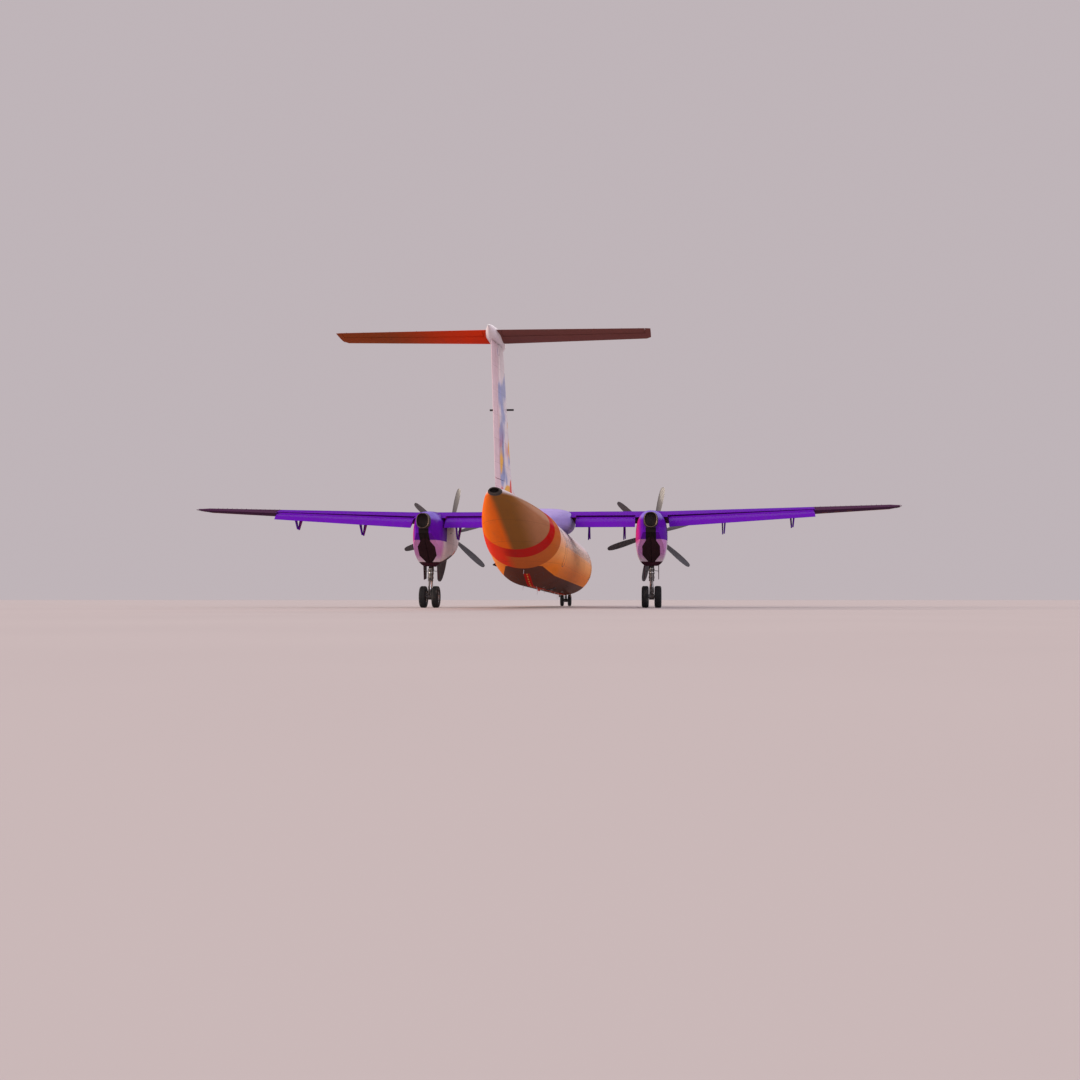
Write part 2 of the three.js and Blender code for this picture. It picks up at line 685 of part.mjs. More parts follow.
function aftDoorOutline(sign, margin) {
  const rows = AFT_DOOR.map(({ along, across }, index) => {
    const push = index < 2 ? -margin : margin;
    return [along + push, sign * (across + margin)];
  });
  return [[rows[0][0], -sign * margin], ...rows, [rows[3][0], -sign * margin]];
}

function nacelleSkin(y) {
  const skin = loft(NACELLE.map((row) => crossRing(row, NACELLE_SIDES, NACELLE_ROUNDNESS, y)));
  const under = slopePrism(y, [[-900, -900], [2700, -900], [2700, 900], [-900, 900]], -1500, 0);
  const forward = block(10000, SLOPE.station, y - 1000, y + 1000, -3000, 3000);
  return cut(skin, cut(under, forward));
}

function buildNacelle(name, sign) {
  const y = sign * NACELLE_Y;
  const wing = wingLoft(1, [-CENTRE_SPAN, CENTRE_SPAN], SEAM * 2);
  const outerWing = wingLoft(sign, [CENTRE_SPAN, CENTRE_SPAN + 400], SEAM * 2);
  const well = block(15640, 16420, y - 300, y + 300, -900, 420);
  const doors = [1, -1].map((side) => slopePrism(y, aftDoorOutline(side, 0), -50, 420));
  const mouth = rod(at(11500, y, THRUST_HEIGHT), at(12000, y, THRUST_HEIGHT), 330, 20);
  const engineRoom = engineBlock(y, 25);
  const scoop = { station: 11500, halfWidth: 230, bottom: 500, top: 640 };
  const intake = loft([scoop, { ...scoop, station: 11850 }].map((row) => crossRing(row, 16, 2.5, y)));
  const skin = cut(nacelleSkin(y), wing, outerWing, well, ...doors, mouth, engineRoom, intake);
  const jackPad = rod(at(15200, y, -150), at(15200, y, -400), JACK_PAD_RADIUS, 12);
  addMesh(`nacelle_${name}`, join(skin, jackPad), 'purple');

  for (const side of [1, -1]) {
    const place = side === sign ? 'outer' : 'inner';
    const outline = aftDoorOutline(side, -CLEARANCE);
    const hinge = onSlope(y, AFT_DOOR[1].along, side * (AFT_DOOR[1].across - CLEARANCE), 0);
    const end = onSlope(y, AFT_DOOR[2].along, side * (AFT_DOOR[2].across - CLEARANCE), 0);
    const axis = end.sub(hinge).normalize().multiplyScalar(-side);
    const pivot = addPivot(`aft_door_${place}_${name}`, hinge, axis, [0, AFT_DOOR_OPENS]);
    addMesh(`aft_door_${place}_${name}`, slopePrism(y, outline, 0, AFT_DOOR_DEPTH), 'dark', pivot);

    const hung = [[15660, -330], [15690, -900], [16250, -960], [16400, -330]];
    const panelY = y + side * 275;
    addMesh(`front_door_${place}_${name}`, plate(hung, panelY - 12, panelY + 12), 'purple');
  }

  const tail = between(NACELLE, 'station', 18060);
  const pipe = [
    { station: 18060 + SEAM, halfWidth: 285, bottom: 950, top: 1580 },
    { station: 18330, halfWidth: 240, bottom: 985, top: 1555 },
  ];
  const inside = pipe.map((row, index) => ({
    station: row.station + 20,
    halfWidth: row.halfWidth - 14,
    bottom: row.bottom + 14,
    top: row.top - 14,
  }));
  const shell = loft(pipe.map((row) => crossRing(row, 20, 2.4, y)));
  const hollow = loft(inside.map((row) => crossRing(row, 20, 2.4, y)));
  addMesh(`exhaust_${name}`, cut(shell, hollow), 'soot');
}

function engineBlock(y, grow) {
  const { start, length, width, height, chamfer, centre } = ENGINE;
  const w = width / 2 + grow;
  const h = height / 2 + grow;
  const outline = [[w, h - chamfer], [w - chamfer, h], [chamfer - w, h], [-w, h - chamfer],
    [-w, chamfer - h], [chamfer - w, -h], [w - chamfer, -h], [w, chamfer - h]];
  return loft([start - grow, start + length + grow].map((station) => outline
    .map(([across, up]) => at(station, y + across, centre + up))));
}

function buildEngine(name, sign) {
  const y = sign * NACELLE_Y;
  const shaft = rod(at(11728, y, THRUST_HEIGHT), at(ENGINE.start + 40, y, THRUST_HEIGHT), 110);
  addMesh(`engine_${name}`, join(engineBlock(y, 0), shaft), 'steel');
}

const BLADE = table(['radius', 'chord', 'thickness', 'pitch'], [
  [250, 170, 110, 66],
  [480, 205, 62, 56],
  [900, 290, 34, 46],
  [1400, 310, 22, 38],
  [1800, 265, 14, 33],
  [2000, 175, 9, 31],
  [2055, 80, 6, 30],
]);
const BLADE_SHARES = [[-0.5, 0], [-0.3, 0.42], [0, 0.5], [0.3, 0.3], [0.5, 0], [0.2, -0.3], [-0.2, -0.4]];

function bladeShape() {
  return loft(BLADE.map(({ radius, chord, thickness, pitch }) => BLADE_SHARES.map(([along, up]) => {
    const turn = degrees(pitch);
    const forward = along * chord * Math.sin(turn) + up * thickness * Math.cos(turn);
    const across = along * chord * Math.cos(turn) - up * thickness * Math.sin(turn);
    return new THREE.Vector3(forward, across, radius);
  })));
}

// A body turned about the Y axis, from [radius, distance along the axis] pairs.
function turned(profile, segments) {
  const points = profile.map(([radius, along]) => new THREE.Vector2(radius, along));
  const geometry = new THREE.LatheGeometry(points, segments);
  const corners = geometry.getAttribute('position');
  const index = geometry.index.array;
  const vertices = Array.from({ length: corners.count }, (_, i) => new THREE.Vector3().fromBufferAttribute(corners, i));
  const triangles = Array.from({ length: index.length / 3 }, (_, i) => Array.from(index.slice(3 * i, 3 * i + 3)));
  if (signedVolume(vertices, triangles) < 0) {
    geometry.setIndex(triangles.flatMap(([a, b, c]) => [a, c, b]));
  }
  return geometry;
}

function buildPropeller(name, sign) {
  const hubProfile = [[0, -270], [120, -270], [120, -130], [400, -130], [405, 0], [370, 180], [0, 180]];
  const hub = turned(hubProfile, 24).rotateZ(-Math.PI / 2);
  const blades = Array.from({ length: PROP_BLADES }, (_, index) => {
    return bladeShape().rotateX(degrees(PROP_PHASE + (360 / PROP_BLADES) * index));
  });
  const domeProfile = [[0, 180 + SEAM], [368, 180 + SEAM], [320, 330], [235, 470], [125, 570], [0, 610]];
  const dome = turned(domeProfile, 24).rotateZ(-Math.PI / 2);
  const centre = at(PROP_STATION, sign * NACELLE_Y, THRUST_HEIGHT);
  const pivot = addPivot(`propeller_${name}`, centre, new THREE.Vector3(1, 0, 0), 'continuous');
  const place = new THREE.Group();
  place.position.copy(centre);
  pivot.add(place);
  addMesh(`propeller_${name}`, join(hub, ...blades), 'blade', place);
  addMesh(`spinner_${name}`, dome, 'white', place);
}

// Landing gear

function tyreShape(tyre) {
  const half = tyre.width / 2;
  const side = tyre.radius - tyre.rim;
  const shoulder = tyre.radius - 0.1 * side;
  const profile = [[tyre.rim, -0.8], [tyre.rim, 0.8], [tyre.rim + 0.5 * side, 1], [shoulder, 0.84],
    [tyre.radius, 0.5], [tyre.radius, -0.5], [shoulder, -0.84], [tyre.rim + 0.5 * side, -1], [tyre.rim, -0.8]];
  return turned(profile.map(([radius, share]) => [radius, share * half]), tyre.segments);
}

// Two rims on the tube that turns inside the leg, as one body about the Y axis.
function rimPair(tyre, tube) {
  const rim = tyre.rim * Math.cos(Math.PI / tyre.segments) - SEAM;
  const inner = tyre.spacing / 2 - 0.38 * tyre.width;
  const outer = tyre.spacing / 2 + 0.38 * tyre.width;
  const half = [[tube, inner], [rim, inner], [rim, outer], [0.88 * rim, outer], [0.84 * rim, outer - 0.4 * tyre.rim],
    [0.42 * rim, outer - 0.34 * tyre.rim], [0.4 * rim, outer - 8], [0.3 * rim, outer]];
  const right = half.map(([radius, y]) => [radius, -y]).reverse();
  const profile = [[0, -outer], ...right, ...half, [0, outer]];
  return turned(profile, 20);
}

function addWheels(tyre, joint, names, centre, tube, parent) {
  const pivot = addPivot(joint, centre, new THREE.Vector3(0, 1, 0), 'continuous', 0, parent);
  const place = new THREE.Group();
  place.position.copy(centre);
  place.rotation.y = degrees(-GROUND_TILT) + Math.PI / tyre.segments;
  pivot.add(place);
  addMesh(names.rims, rimPair(tyre, tube), 'steel', place);
  for (const { name, sign } of SIDES) {
    const mesh = addMesh(`${names.tyre}_${name}`, tyreShape(tyre), 'rubber', place);
    mesh.position.y = sign * tyre.spacing / 2;
  }
}

function buildMainGear(name, sign) {
  const y = sign * NACELLE_Y;
  const axle = at(MAIN_STATION, y, wheelHeight(MAIN_STATION, MAIN_TYRE));
  const top = at(TRUNNION.station, y, TRUNNION.height);
  const along = (share) => top.clone().lerp(axle, share);
  const across = (point, half) => [-half, half].map((offset) => point.clone().setY(point.y + offset));
  const pieces = [
    rod(top, along(0.66), 105),
    rod(along(0.6), axle, 72),
    rod(...across(top, 299), 70),
    rod(...across(axle, 95), 112),
    rod(along(0.5), at(15700, y, 60), 45, 12),
    rod(along(0.6).add(at(110, 0, 0)), along(0.8).add(at(260, 0, 0)), 28, 8),
    rod(along(0.8).add(at(265, 0, 10)), along(0.97).add(at(90, 0, 0)), 28, 8),
  ];
  const collar = rod(along(0.6), along(0.6).add(at(120, 0, 0)), 34, 8);
  const bore = rod(...across(axle, 200), 62 + CLEARANCE, 20);
  const leg = cut(join(...pieces, collar), bore);
  addMesh(`main_leg_${name}`, leg, 'steel');
  const names = { rims: `main_wheels_${name}`, tyre: `main_tyre_${name}` };
  addWheels(MAIN_TYRE, `main_wheels_${name}`, names, axle, 62, airframe);
}

function buildNoseGear() {
  const axle = at(NOSE_STATION, 0, wheelHeight(NOSE_STATION, NOSE_TYRE));
  const crown = at(NOSE_STATION, 0, -620);
  const low = -1130;
  const sleeve = rod(crown, at(NOSE_STATION, 0, low), 82);
  const bore = rod(at(NOSE_STATION, 0, low - 10), at(NOSE_STATION, 0, -900), 58 + CLEARANCE);
  const beam = rod(at(NOSE_STATION, -269, -680), at(NOSE_STATION, 269, -680), 45, 12);
  const brace = rod(at(NOSE_STATION, 0, -980), at(3300, 0, -700), 32, 10);
  const foot = rod(at(3300, -269, -700), at(3300, 269, -700), 30, 10);
  addMesh('nose_leg', cut(join(sleeve, beam, brace, foot), bore), 'steel');

  const up = new THREE.Vector3(0, 0, 1);
  const steering = addPivot('nose_steering', axle, up, [-STEERING_TRAVEL, STEERING_TRAVEL]);
  const piston = rod(at(NOSE_STATION, 0, -940), axle, 58);
  const boss = rod(axle.clone().setY(-85), axle.clone().setY(85), 78);
  const axleBore = rod(axle.clone().setY(-150), axle.clone().setY(150), 40 + CLEARANCE, 16);
  const towLug = block(NOSE_STATION - 105, NOSE_STATION - 50, -30, 30, axle.z - 35, axle.z + 35);
  addMesh('nose_fork', cut(join(piston, boss, towLug), axleBore), 'steel', steering);
  const names = { rims: 'nose_wheels', tyre: 'nose_tyre' };
  addWheels(NOSE_TYRE, 'nose_wheels', names, axle, 40, steering);

  for (const { name, sign } of SIDES) {
    const outline = [[2880, -1200], [2920, -1400], [3440, -1420], [3490, -1200]];
    const y = sign * 258;
    addMesh(`nose_door_${name}`, plate(outline, y - 10, y + 10), 'white');
  }
}

buildFuselage();
buildAirstair();
buildWing();
buildFairing();
buildSidePlate();
buildFin();
buildTailplane();
for (const { name, sign } of SIDES) {
  buildNacelle(name, sign);
  buildEngine(name, sign);
  buildPropeller(name, sign);
  buildMainGear(name, sign);
}
buildNoseGear();

// The origin is under the middle of the whole aircraft, on the ground.
const reach = new THREE.Box3().setFromObject(GROUP, true);
airframe.position.x -= (reach.min.x + reach.max.x) / 2;

export default GROUP;
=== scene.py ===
# Looks of the turboprop airliner: smooth skins, painted metal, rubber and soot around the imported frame.
# Metres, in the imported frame: +X forward, +Y left, +Z up from the ground. Tables give stations, which
# are distances aft of the nose tip, and heights above the centreline of the fuselage.
from math import asin, atan, ceil, copysign, cos, degrees, pi, radians, sin, sqrt, tan

import bmesh
import bpy
import numpy as np
from mathutils import Matrix, Vector


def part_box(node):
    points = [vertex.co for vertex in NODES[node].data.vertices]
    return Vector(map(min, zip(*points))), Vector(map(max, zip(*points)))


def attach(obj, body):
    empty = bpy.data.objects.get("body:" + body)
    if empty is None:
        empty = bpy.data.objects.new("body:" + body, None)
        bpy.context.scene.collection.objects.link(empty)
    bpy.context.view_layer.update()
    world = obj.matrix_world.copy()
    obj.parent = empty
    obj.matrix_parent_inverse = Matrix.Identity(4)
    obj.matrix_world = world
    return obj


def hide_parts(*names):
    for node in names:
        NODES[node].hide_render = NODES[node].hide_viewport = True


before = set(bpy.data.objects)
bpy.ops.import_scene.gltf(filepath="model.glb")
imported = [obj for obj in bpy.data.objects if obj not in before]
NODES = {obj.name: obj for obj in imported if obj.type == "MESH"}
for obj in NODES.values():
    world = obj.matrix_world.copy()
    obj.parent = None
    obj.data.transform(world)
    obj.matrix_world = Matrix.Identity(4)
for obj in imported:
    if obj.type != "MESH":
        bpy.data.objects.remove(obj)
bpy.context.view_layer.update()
X, Y, Z = Vector((1, 0, 0)), Vector((0, 1, 0)), Vector((0, 0, 1))

# Stance of the parked aircraft
TILT = radians(1.0)
MAIN_WHEEL_STATION = 16.5
WHEEL_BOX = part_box("main_wheels_left")
WHEEL_CENTRE = (WHEEL_BOX[0] + WHEEL_BOX[1]) / 2
AXIS_HEIGHT = 1.792
WHEEL_HEIGHT = (WHEEL_CENTRE.z - AXIS_HEIGHT - MAIN_WHEEL_STATION * sin(TILT)) / cos(TILT)
NOSE_X = WHEEL_CENTRE.x + MAIN_WHEEL_STATION * cos(TILT) - WHEEL_HEIGHT * sin(TILT)
FORWARD = Matrix.Rotation(-TILT, 3, "Y") @ X

# Main stations and places
BODY_RADIUS = 1.345
RADOME_END = 0.95
NOSE_END = 5.3
CABIN_END = 20.5
REAR_END = 29.0
CONE_END = 31.25
OUTLET_END = 31.48
SEAM = 0.0004
NACELLE_Y = 4.4
CENTRE_SPAN = 5.0
WING_LEAD = 13.95
WING_SWEEP = 0.0673
TAILPLANE_LEAD = 30.45
TAILPLANE_SWEEP = 0.082
SLOPE_STATION = 16.33  # of the slope that the aft gear doors close
SLOPE_HEIGHT = -0.5
SLOPE_RISE = radians(37)
SIDES = (("left", 1), ("right", -1))


def to_row(points):
    """Turns [station, y, height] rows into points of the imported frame."""
    points = np.asarray(points, float)
    x = NOSE_X - points[..., 0] * cos(TILT) + points[..., 2] * sin(TILT)
    z = AXIS_HEIGHT + points[..., 0] * sin(TILT) + points[..., 2] * cos(TILT)
    return np.stack([x, points[..., 1], z], axis=-1)


def at(station, y, height):
    return Vector(to_row([station, y, height]))


# Curves and meshes

def slopes(x, y):
    """Tangents of a smooth curve through the points that never overshoots them."""
    step = np.diff(x)
    rise = np.diff(y, axis=0) / step[:, None]
    tangent = np.zeros_like(y)
    for i in range(1, len(x) - 1):
        same = rise[i - 1] * rise[i] > 0
        w1 = 2 * step[i] + step[i - 1]
        w2 = step[i] + 2 * step[i - 1]
        with np.errstate(divide="ignore", invalid="ignore"):
            mean = (w1 + w2) / (w1 / rise[i - 1] + w2 / rise[i])
        tangent[i] = np.where(same, mean, 0.0)
    tangent[0] = rise[0]
    tangent[-1] = rise[-1]
    return tangent


def smooth(table, values):
    """Columns of a table at new values of its first column, along smooth curves."""
    table = np.asarray(table, float)
    x = table[:, 0]
    y = table[:, 1:]
    tangent = slopes(x, y)
    values = np.clip(values, x[0], x[-1])
    i = np.clip(np.searchsorted(x, values) - 1, 0, len(x) - 2)
    h = (x[i + 1] - x[i])[:, None]
    t = ((values - x[i])[:, None]) / h
    a = (1 + 2 * t) * (1 - t) ** 2
    b = t * (1 - t) ** 2
    c = t ** 2 * (3 - 2 * t)
    d = t ** 2 * (t - 1)
    return a * y[i] + b * h * tangent[i] + c * y[i + 1] + d * h * tangent[i + 1]


def row_at(table, value):
    """Columns of a table at one value of its first column, along straight lines."""
    table = np.asarray(table, float)
    return [float(np.interp(value, table[:, 0], column)) for column in table.T[1:]]


def superellipse(turns, roundness):
    """Across and up of an oval of half width 1 at some turns; 2 is round and more is squarer."""
    return [np.sign(v) * np.abs(v) ** (2 / roundness) for v in (np.cos(turns), np.sin(turns))]


def bands(rings, count, closed=True, wrap=False):
    """Faces between rings of points: closed rings run round, and a wrap joins the last ring to the first."""
    faces = []
    for ring in range(rings if wrap else rings - 1):
        for i in range(count if closed else count - 1):
            here, beyond = ring * count, (ring + 1) % rings * count
            j = (i + 1) % count
            faces.append((here + i, here + j, beyond + j, beyond + i))
    return faces


def caps(rings, count):
    return [tuple(range(count))[::-1], tuple(range((rings - 1) * count, rings * count))]


def shade(mesh, smooth_angle):
    mesh.polygons.foreach_set("use_smooth", [True] * len(mesh.polygons))
    mesh.set_sharp_from_angle(angle=radians(smooth_angle))


def placed(name, data):
    obj = bpy.data.objects.new(name, data)
    bpy.context.scene.collection.objects.link(obj)
    return obj


def finished(name, work, smooth_angle=35.0):
    """The object of a mesh that was made in bmesh."""
    mesh = bpy.data.meshes.new(name)
    work.to_mesh(mesh)
    work.free()
    shade(mesh, smooth_angle)
    return placed(name, mesh)


def mesh_object(name, vertices, faces, smooth_angle=35.0):
    raw = bpy.data.meshes.new("raw")
    raw.from_pydata([tuple(v) for v in vertices], [], faces)
    work = bmesh.new()
    work.from_mesh(raw)
    bpy.data.meshes.remove(raw)
    bmesh.ops.remove_doubles(work, verts=work.verts, dist=1e-5)
    bmesh.ops.recalc_face_normals(work, faces=work.faces)
    return finished(name, work, smooth_angle)


def loft(name, rings, smooth_angle=35.0):
    """A closed skin over rings of [station, y, height] rows with equal counts."""
    size = len(rings), len(rings[0])
    return mesh_object(name, to_row(np.concatenate(rings)), bands(*size) + caps(*size), smooth_angle)


def hull(name, table, count, sides, roundness=2.0, y=0.0, ends=None, grow=0.0, smooth_angle=35.0):
    """A body of evenly spaced rings, from half width, bottom and top at the stations of its table."""
    stations = np.linspace(*(ends or (table[0][0], table[-1][0])), count)
    across, up = superellipse(2 * pi * (np.arange(sides) + 0.5) / sides, roundness)
    rings = []
    for station, (half, bottom, top) in zip(stations, smooth(table, stations)):
        high = (top - bottom) / 2 + grow
        ring = [np.full(sides, station), y + (half + grow) * across, (top + bottom) / 2 + high * up]
        rings.append(np.stack(ring, axis=-1))
    return loft(name, rings, smooth_angle)


def slab(outline, y, width):
    """A flat upright piece, from an outline of [station, height] pairs."""
    sides = (y - width / 2, y + width / 2)
    return loft("slab", [np.array([[s, side, h] for s, h in outline]) for side in sides])


def beam(ring, front, rear):
    """A straight piece between two stations, from a ring of [y, height] pairs."""
    return loft("beam", [np.array([[s, y, h] for y, h in ring]) for s in (front, rear)])


def box_between(front, rear, right, left, low, high):
    return beam([(right, low), (left, low), (left, high), (right, high)], front, rear)


def carve(obj, tools, operation="DIFFERENCE", smooth_angle=35.0):
    """Cuts or joins an object with others, and removes those others."""
    for tool in tools:
        step = obj.modifiers.new("carve", "BOOLEAN")
        step.operation = operation
        step.solver = "EXACT"
        step.object = tool
    graph = bpy.context.evaluated_depsgraph_get()
    mesh = bpy.data.meshes.new_from_object(obj.evaluated_get(graph))
    obj.modifiers.clear()
    obj.data = mesh
    for tool in tools:
        bpy.data.objects.remove(tool)
    shade(mesh, smooth_angle)
    return obj


def joined(name, objects, smooth_angle=35.0):
    """One object out of several meshes that don't touch each other."""
    whole = bmesh.new()
    for obj in objects:
        whole.from_mesh(obj.data)
        bpy.data.objects.remove(obj)
    return finished(name, whole, smooth_angle)


def give(obj, material, body="airframe"):
    """Puts a material on a piece and makes it ride on its body."""
    obj.data.materials.clear()
    obj.data.materials.append(MATERIALS[material])
    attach(obj, body)


def group(name, objects, material, body="airframe"):
    """Makes one piece of several small ones."""
    give(joined(name, objects), material, body)


def rod(start, end, radius, sides, radius_end=None):
    """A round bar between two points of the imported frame."""
    along = end - start
    bar = bmesh.new()
    bmesh.ops.create_cone(bar, cap_ends=True, segments=sides, radius1=radius,
                          radius2=radius if radius_end is None else radius_end, depth=along.length)
    turn = along.to_track_quat("Z", "Y").to_matrix().to_4x4()
    bmesh.ops.transform(bar, matrix=Matrix.Translation((start + end) / 2) @ turn, verts=bar.verts)
    return finished("rod", bar)


def turned(name, profile, centre, axis, segments, smooth_angle):
    """A body turned about an axis: [radius, distance along the axis] pairs, ends on the axis or closed."""
    ends_on_axis = profile[0][0] < 1e-6
    count = len(profile)
    angles = 2 * pi * np.arange(segments) / segments
    turn = Vector(axis).normalized().to_track_quat("Z", "Y").to_matrix()
    vertices = [turn @ Vector((r * cos(a), r * sin(a), h)) + centre for a in angles for r, h in profile]
    faces = [(a, d, c, b) for a, b, c, d in bands(segments, count, not ends_on_axis, True)]
    return mesh_object(name, vertices, faces, smooth_angle)


def hose(points, radius):
    """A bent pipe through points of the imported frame."""
    sides, steps = 10, 6
    path = []
    last = len(points) - 1
    for i, (a, b) in enumerate(zip(points, points[1:])):
        before = points[max(i - 1, 0)]
        after = points[min(i + 2, last)]
        for k in range(steps + (i == last - 1)):
            t = k / steps
            path.append(0.5 * ((2 * a) + (b - before) * t + (2 * before - 5 * a + 4 * b - after) * t ** 2
                               + (3 * a - before - 3 * b + after) * t ** 3))
    vertices = []
    side = (path[1] - path[0]).orthogonal()
    for i, point in enumerate(path):
        along = (path[min(i + 1, len(path) - 1)] - path[max(i - 1, 0)]).normalized()
        side = (side - along * side.dot(along)).normalized()
        other = along.cross(side)
        for k in range(sides):
            turn = 2 * pi * k / sides
            vertices.append(point + side * (radius * cos(turn)) + other * (radius * sin(turn)))
    size = len(path), sides
    return mesh_object("hose", vertices, bands(*size) + caps(*size), 50.0)


# Shaders

JOINT_WIDTH = 0.004


class Value:
    """An output of a shader's node, for plain arithmetic with others and with numbers."""

    def __init__(self, shader, socket):
        self.shader = shader
        self.socket = socket

    def math(self, operation, other=0.0):
        node = self.shader.node("ShaderNodeMath")
        node.operation = operation
        self.shader.put(node.inputs[0], self)
        self.shader.put(node.inputs[1], other)
        return Value(self.shader, node.outputs[0])

    def __add__(self, other):
        return self.math("ADD", other)

    def __sub__(self, other):
        return self.math("SUBTRACT", other)

    def __mul__(self, other):
        return self.math("MULTIPLY", other)

    def __truediv__(self, other):
        return self.math("DIVIDE", other)

    def __abs__(self):
        return self.math("ABSOLUTE")

    def ramp(self, low, high):
        """0 below low, 1 above high and smooth between; the other way round if low is above high."""
        node = self.shader.node("ShaderNodeMapRange")
        node.interpolation_type = "SMOOTHSTEP"
        start, end = (0.0, 1.0) if low < high else (1.0, 0.0)
        for name, value in (("Value", self), ("From Min", min(low, high)), ("From Max", max(low, high)),
                            ("To Min", start), ("To Max", end)):
            self.shader.put(node.inputs[name], value)
        return Value(self.shader, node.outputs[0])

    def past(self, edge, soft):
        return self.ramp(edge - soft, edge + soft)

    def band(self, low, high, soft):
        """1 between low and high, with soft edges."""
        return self.past(low, soft) * self.ramp(high + soft, high - soft)

    def dashes(self, half_pitch, half_gap):
        """1 on dashes that repeat at a pitch and leave a gap between them."""
        return self.math("PINGPONG", half_pitch).past(half_gap, 0.005)

    def lines(self, pitch):
        """1 on thin lines that repeat at a pitch."""
        return self.math("PINGPONG", pitch / 2).ramp(JOINT_WIDTH, JOINT_WIDTH * 0.4)

    def mix(self, first, second):
        """The first colour where this is 0, the second where it is 1."""
        node = self.shader.node("ShaderNodeMix")
        node.data_type = "RGBA"
        self.shader.put(node.inputs["Factor"], self)
        self.shader.put(node.inputs[6], first)
        self.shader.put(node.inputs[7], second)
        return Value(self.shader, node.outputs[2])


class Shader:
    """A short way to write a node material whose patterns follow the aircraft's own axes."""

    def __init__(self, name, roughness, metallic=0.0, coat=0.0, specular=0.5):
        self.material = bpy.data.materials.new(name)
        self.material.use_nodes = True
        self.tree = self.material.node_tree
        self.bsdf = self.tree.nodes["Principled BSDF"]
        for socket, value in (("Roughness", roughness), ("Metallic", metallic), ("Coat Weight", coat),
                              ("Coat Roughness", 0.12), ("Specular IOR Level", specular)):
            self.put(self.bsdf.inputs[socket], value)
        mapping = self.node("ShaderNodeMapping")
        mapping.vector_type = "TEXTURE"
        mapping.inputs["Location"].default_value = (NOSE_X, 0, AXIS_HEIGHT)
        mapping.inputs["Rotation"].default_value = (0, TILT, 0)
        self.link(self.node("ShaderNodeTexCoord").outputs["Object"], mapping.inputs["Vector"])
        self.position = mapping.outputs[0]
        ahead, self.across, self.height = self.split(self.position)
        self.station = ahead * -1.0

    def node(self, kind):
        return self.tree.nodes.new(kind)

    def link(self, source, target):
        self.tree.links.new(source, target)

    def split(self, vector):
        node = self.node("ShaderNodeSeparateXYZ")
        self.link(vector, node.inputs[0])
        return [Value(self, socket) for socket in node.outputs]

    def put(self, socket, value):
        if isinstance(value, Value):
            self.link(value.socket, socket)
        else:
            socket.default_value = (*value, 1.0) if isinstance(value, tuple) else value

    def noise(self, scale, detail=3.0, stretch=(1, 1, 1), distortion=0.0):
        mapping = self.node("ShaderNodeMapping")
        mapping.inputs["Scale"].default_value = stretch
        self.link(self.position, mapping.inputs["Vector"])
        node = self.node("ShaderNodeTexNoise")
        self.link(mapping.outputs[0], node.inputs["Vector"])
        for socket, value in (("Scale", scale), ("Detail", detail), ("Distortion", distortion)):
            self.put(node.inputs[socket], value)
        return Value(self, node.outputs["Fac"])

    def bump(self, height, strength, distance=0.001):
        node = self.node("ShaderNodeBump")
        for socket, value in (("Strength", strength), ("Distance", distance), ("Height", height)):
            self.put(node.inputs[socket], value)
        self.link(node.outputs[0], self.bsdf.inputs["Normal"])

    def colour(self, value):
        self.put(self.bsdf.inputs["Base Color"], value)

    def rough(self, value):
        self.put(self.bsdf.inputs["Roughness"], value)


def layered(base, *layers):
    """A colour with others over it in turn, each where its mask is 1."""
    for mask, colour in layers:
        base = mask.mix(base, colour)
    return base


# Colours, linear
WHITE = (0.80, 0.73, 0.78)
LAVENDER = (0.62, 0.52, 0.70)
ROSY_WHITE = (0.80, 0.62, 0.68)
PALE_BLUE = (0.38, 0.42, 0.66)
YELLOW = (0.9, 0.5, 0.12)
PINK = (0.75, 0.12, 0.12)
CORAL = (0.85, 0.20, 0.12)
PURPLE = (0.12, 0.006, 0.40)
# Painted reflection of the sky on the top of the nacelles' rear
NACELLE_SKY_REFLECTION = (0.24, 0.16, 0.68)
# Painted shade on the white paint of the nacelles' rear slopes
NACELLE_SHADE_LAVENDER = (0.60, 0.27, 0.60)
FAIRING_PURPLE = (0.40, 0.32, 0.70)
# Painted sunlight, rosy, on the left side of the nacelles
NACELLE_SUNLIT_MAGENTA = (0.55, 0.02, 0.20)
PLATE_MAGENTA = (0.30, 0.008, 0.26)
# Painted sunlight on the white paint of the tail cone's left side
TAIL_SUNLIT_ORANGE = (0.92, 0.165, 0.006)
# Painted warm light: orange sunlight and the reflected orange horizon on the white flanks, deeper lower down
FLANK_WARM_LIGHT = (0.94, 0.40, 0.13)
LOW_FLANK_WARM_LIGHT = (0.92, 0.24, 0.025)
# Painted shade on the white paint of the tail cone's right side, paler towards its right edge
TAIL_SHADE_TAN = (0.27, 0.11, 0.02)
PALE_TAN = (0.44, 0.19, 0.09)
RED = (0.52, 0.009, 0.006)
# Painted sunlight on the left side of the red band
LIT_RED = (0.84, 0.035, 0.008)
ROOT_RED = (0.72, 0.045, 0.010)
# Painted reflection of the orange horizon on the shaded right side of the front of the red band
BAND_SHADE_ORANGE = (0.56, 0.135, 0.025)
# Painted sunlight on the left half of the tailplane and painted shade on its right half
TAILPLANE_SUNLIT = (0.30, 0.065, 0.018)
TAILPLANE_SHADE = (0.19, 0.070, 0.062)
# Gold: dashes on the keel and under the right wing, and painted sunlight along the leading edges
GOLD = (0.75, 0.35, 0.06)
# Dark belly: partly the belly's paint, partly painted shade and the reflected dark ground under the body
BELLY_PAINT_AND_SHADE = (0.125, 0.040, 0.026)
# Painted shade on the undersides of the wings and the nacelle chins, which face the ground
UNDERSIDE_SHADE = (0.05, 0.015, 0.026)
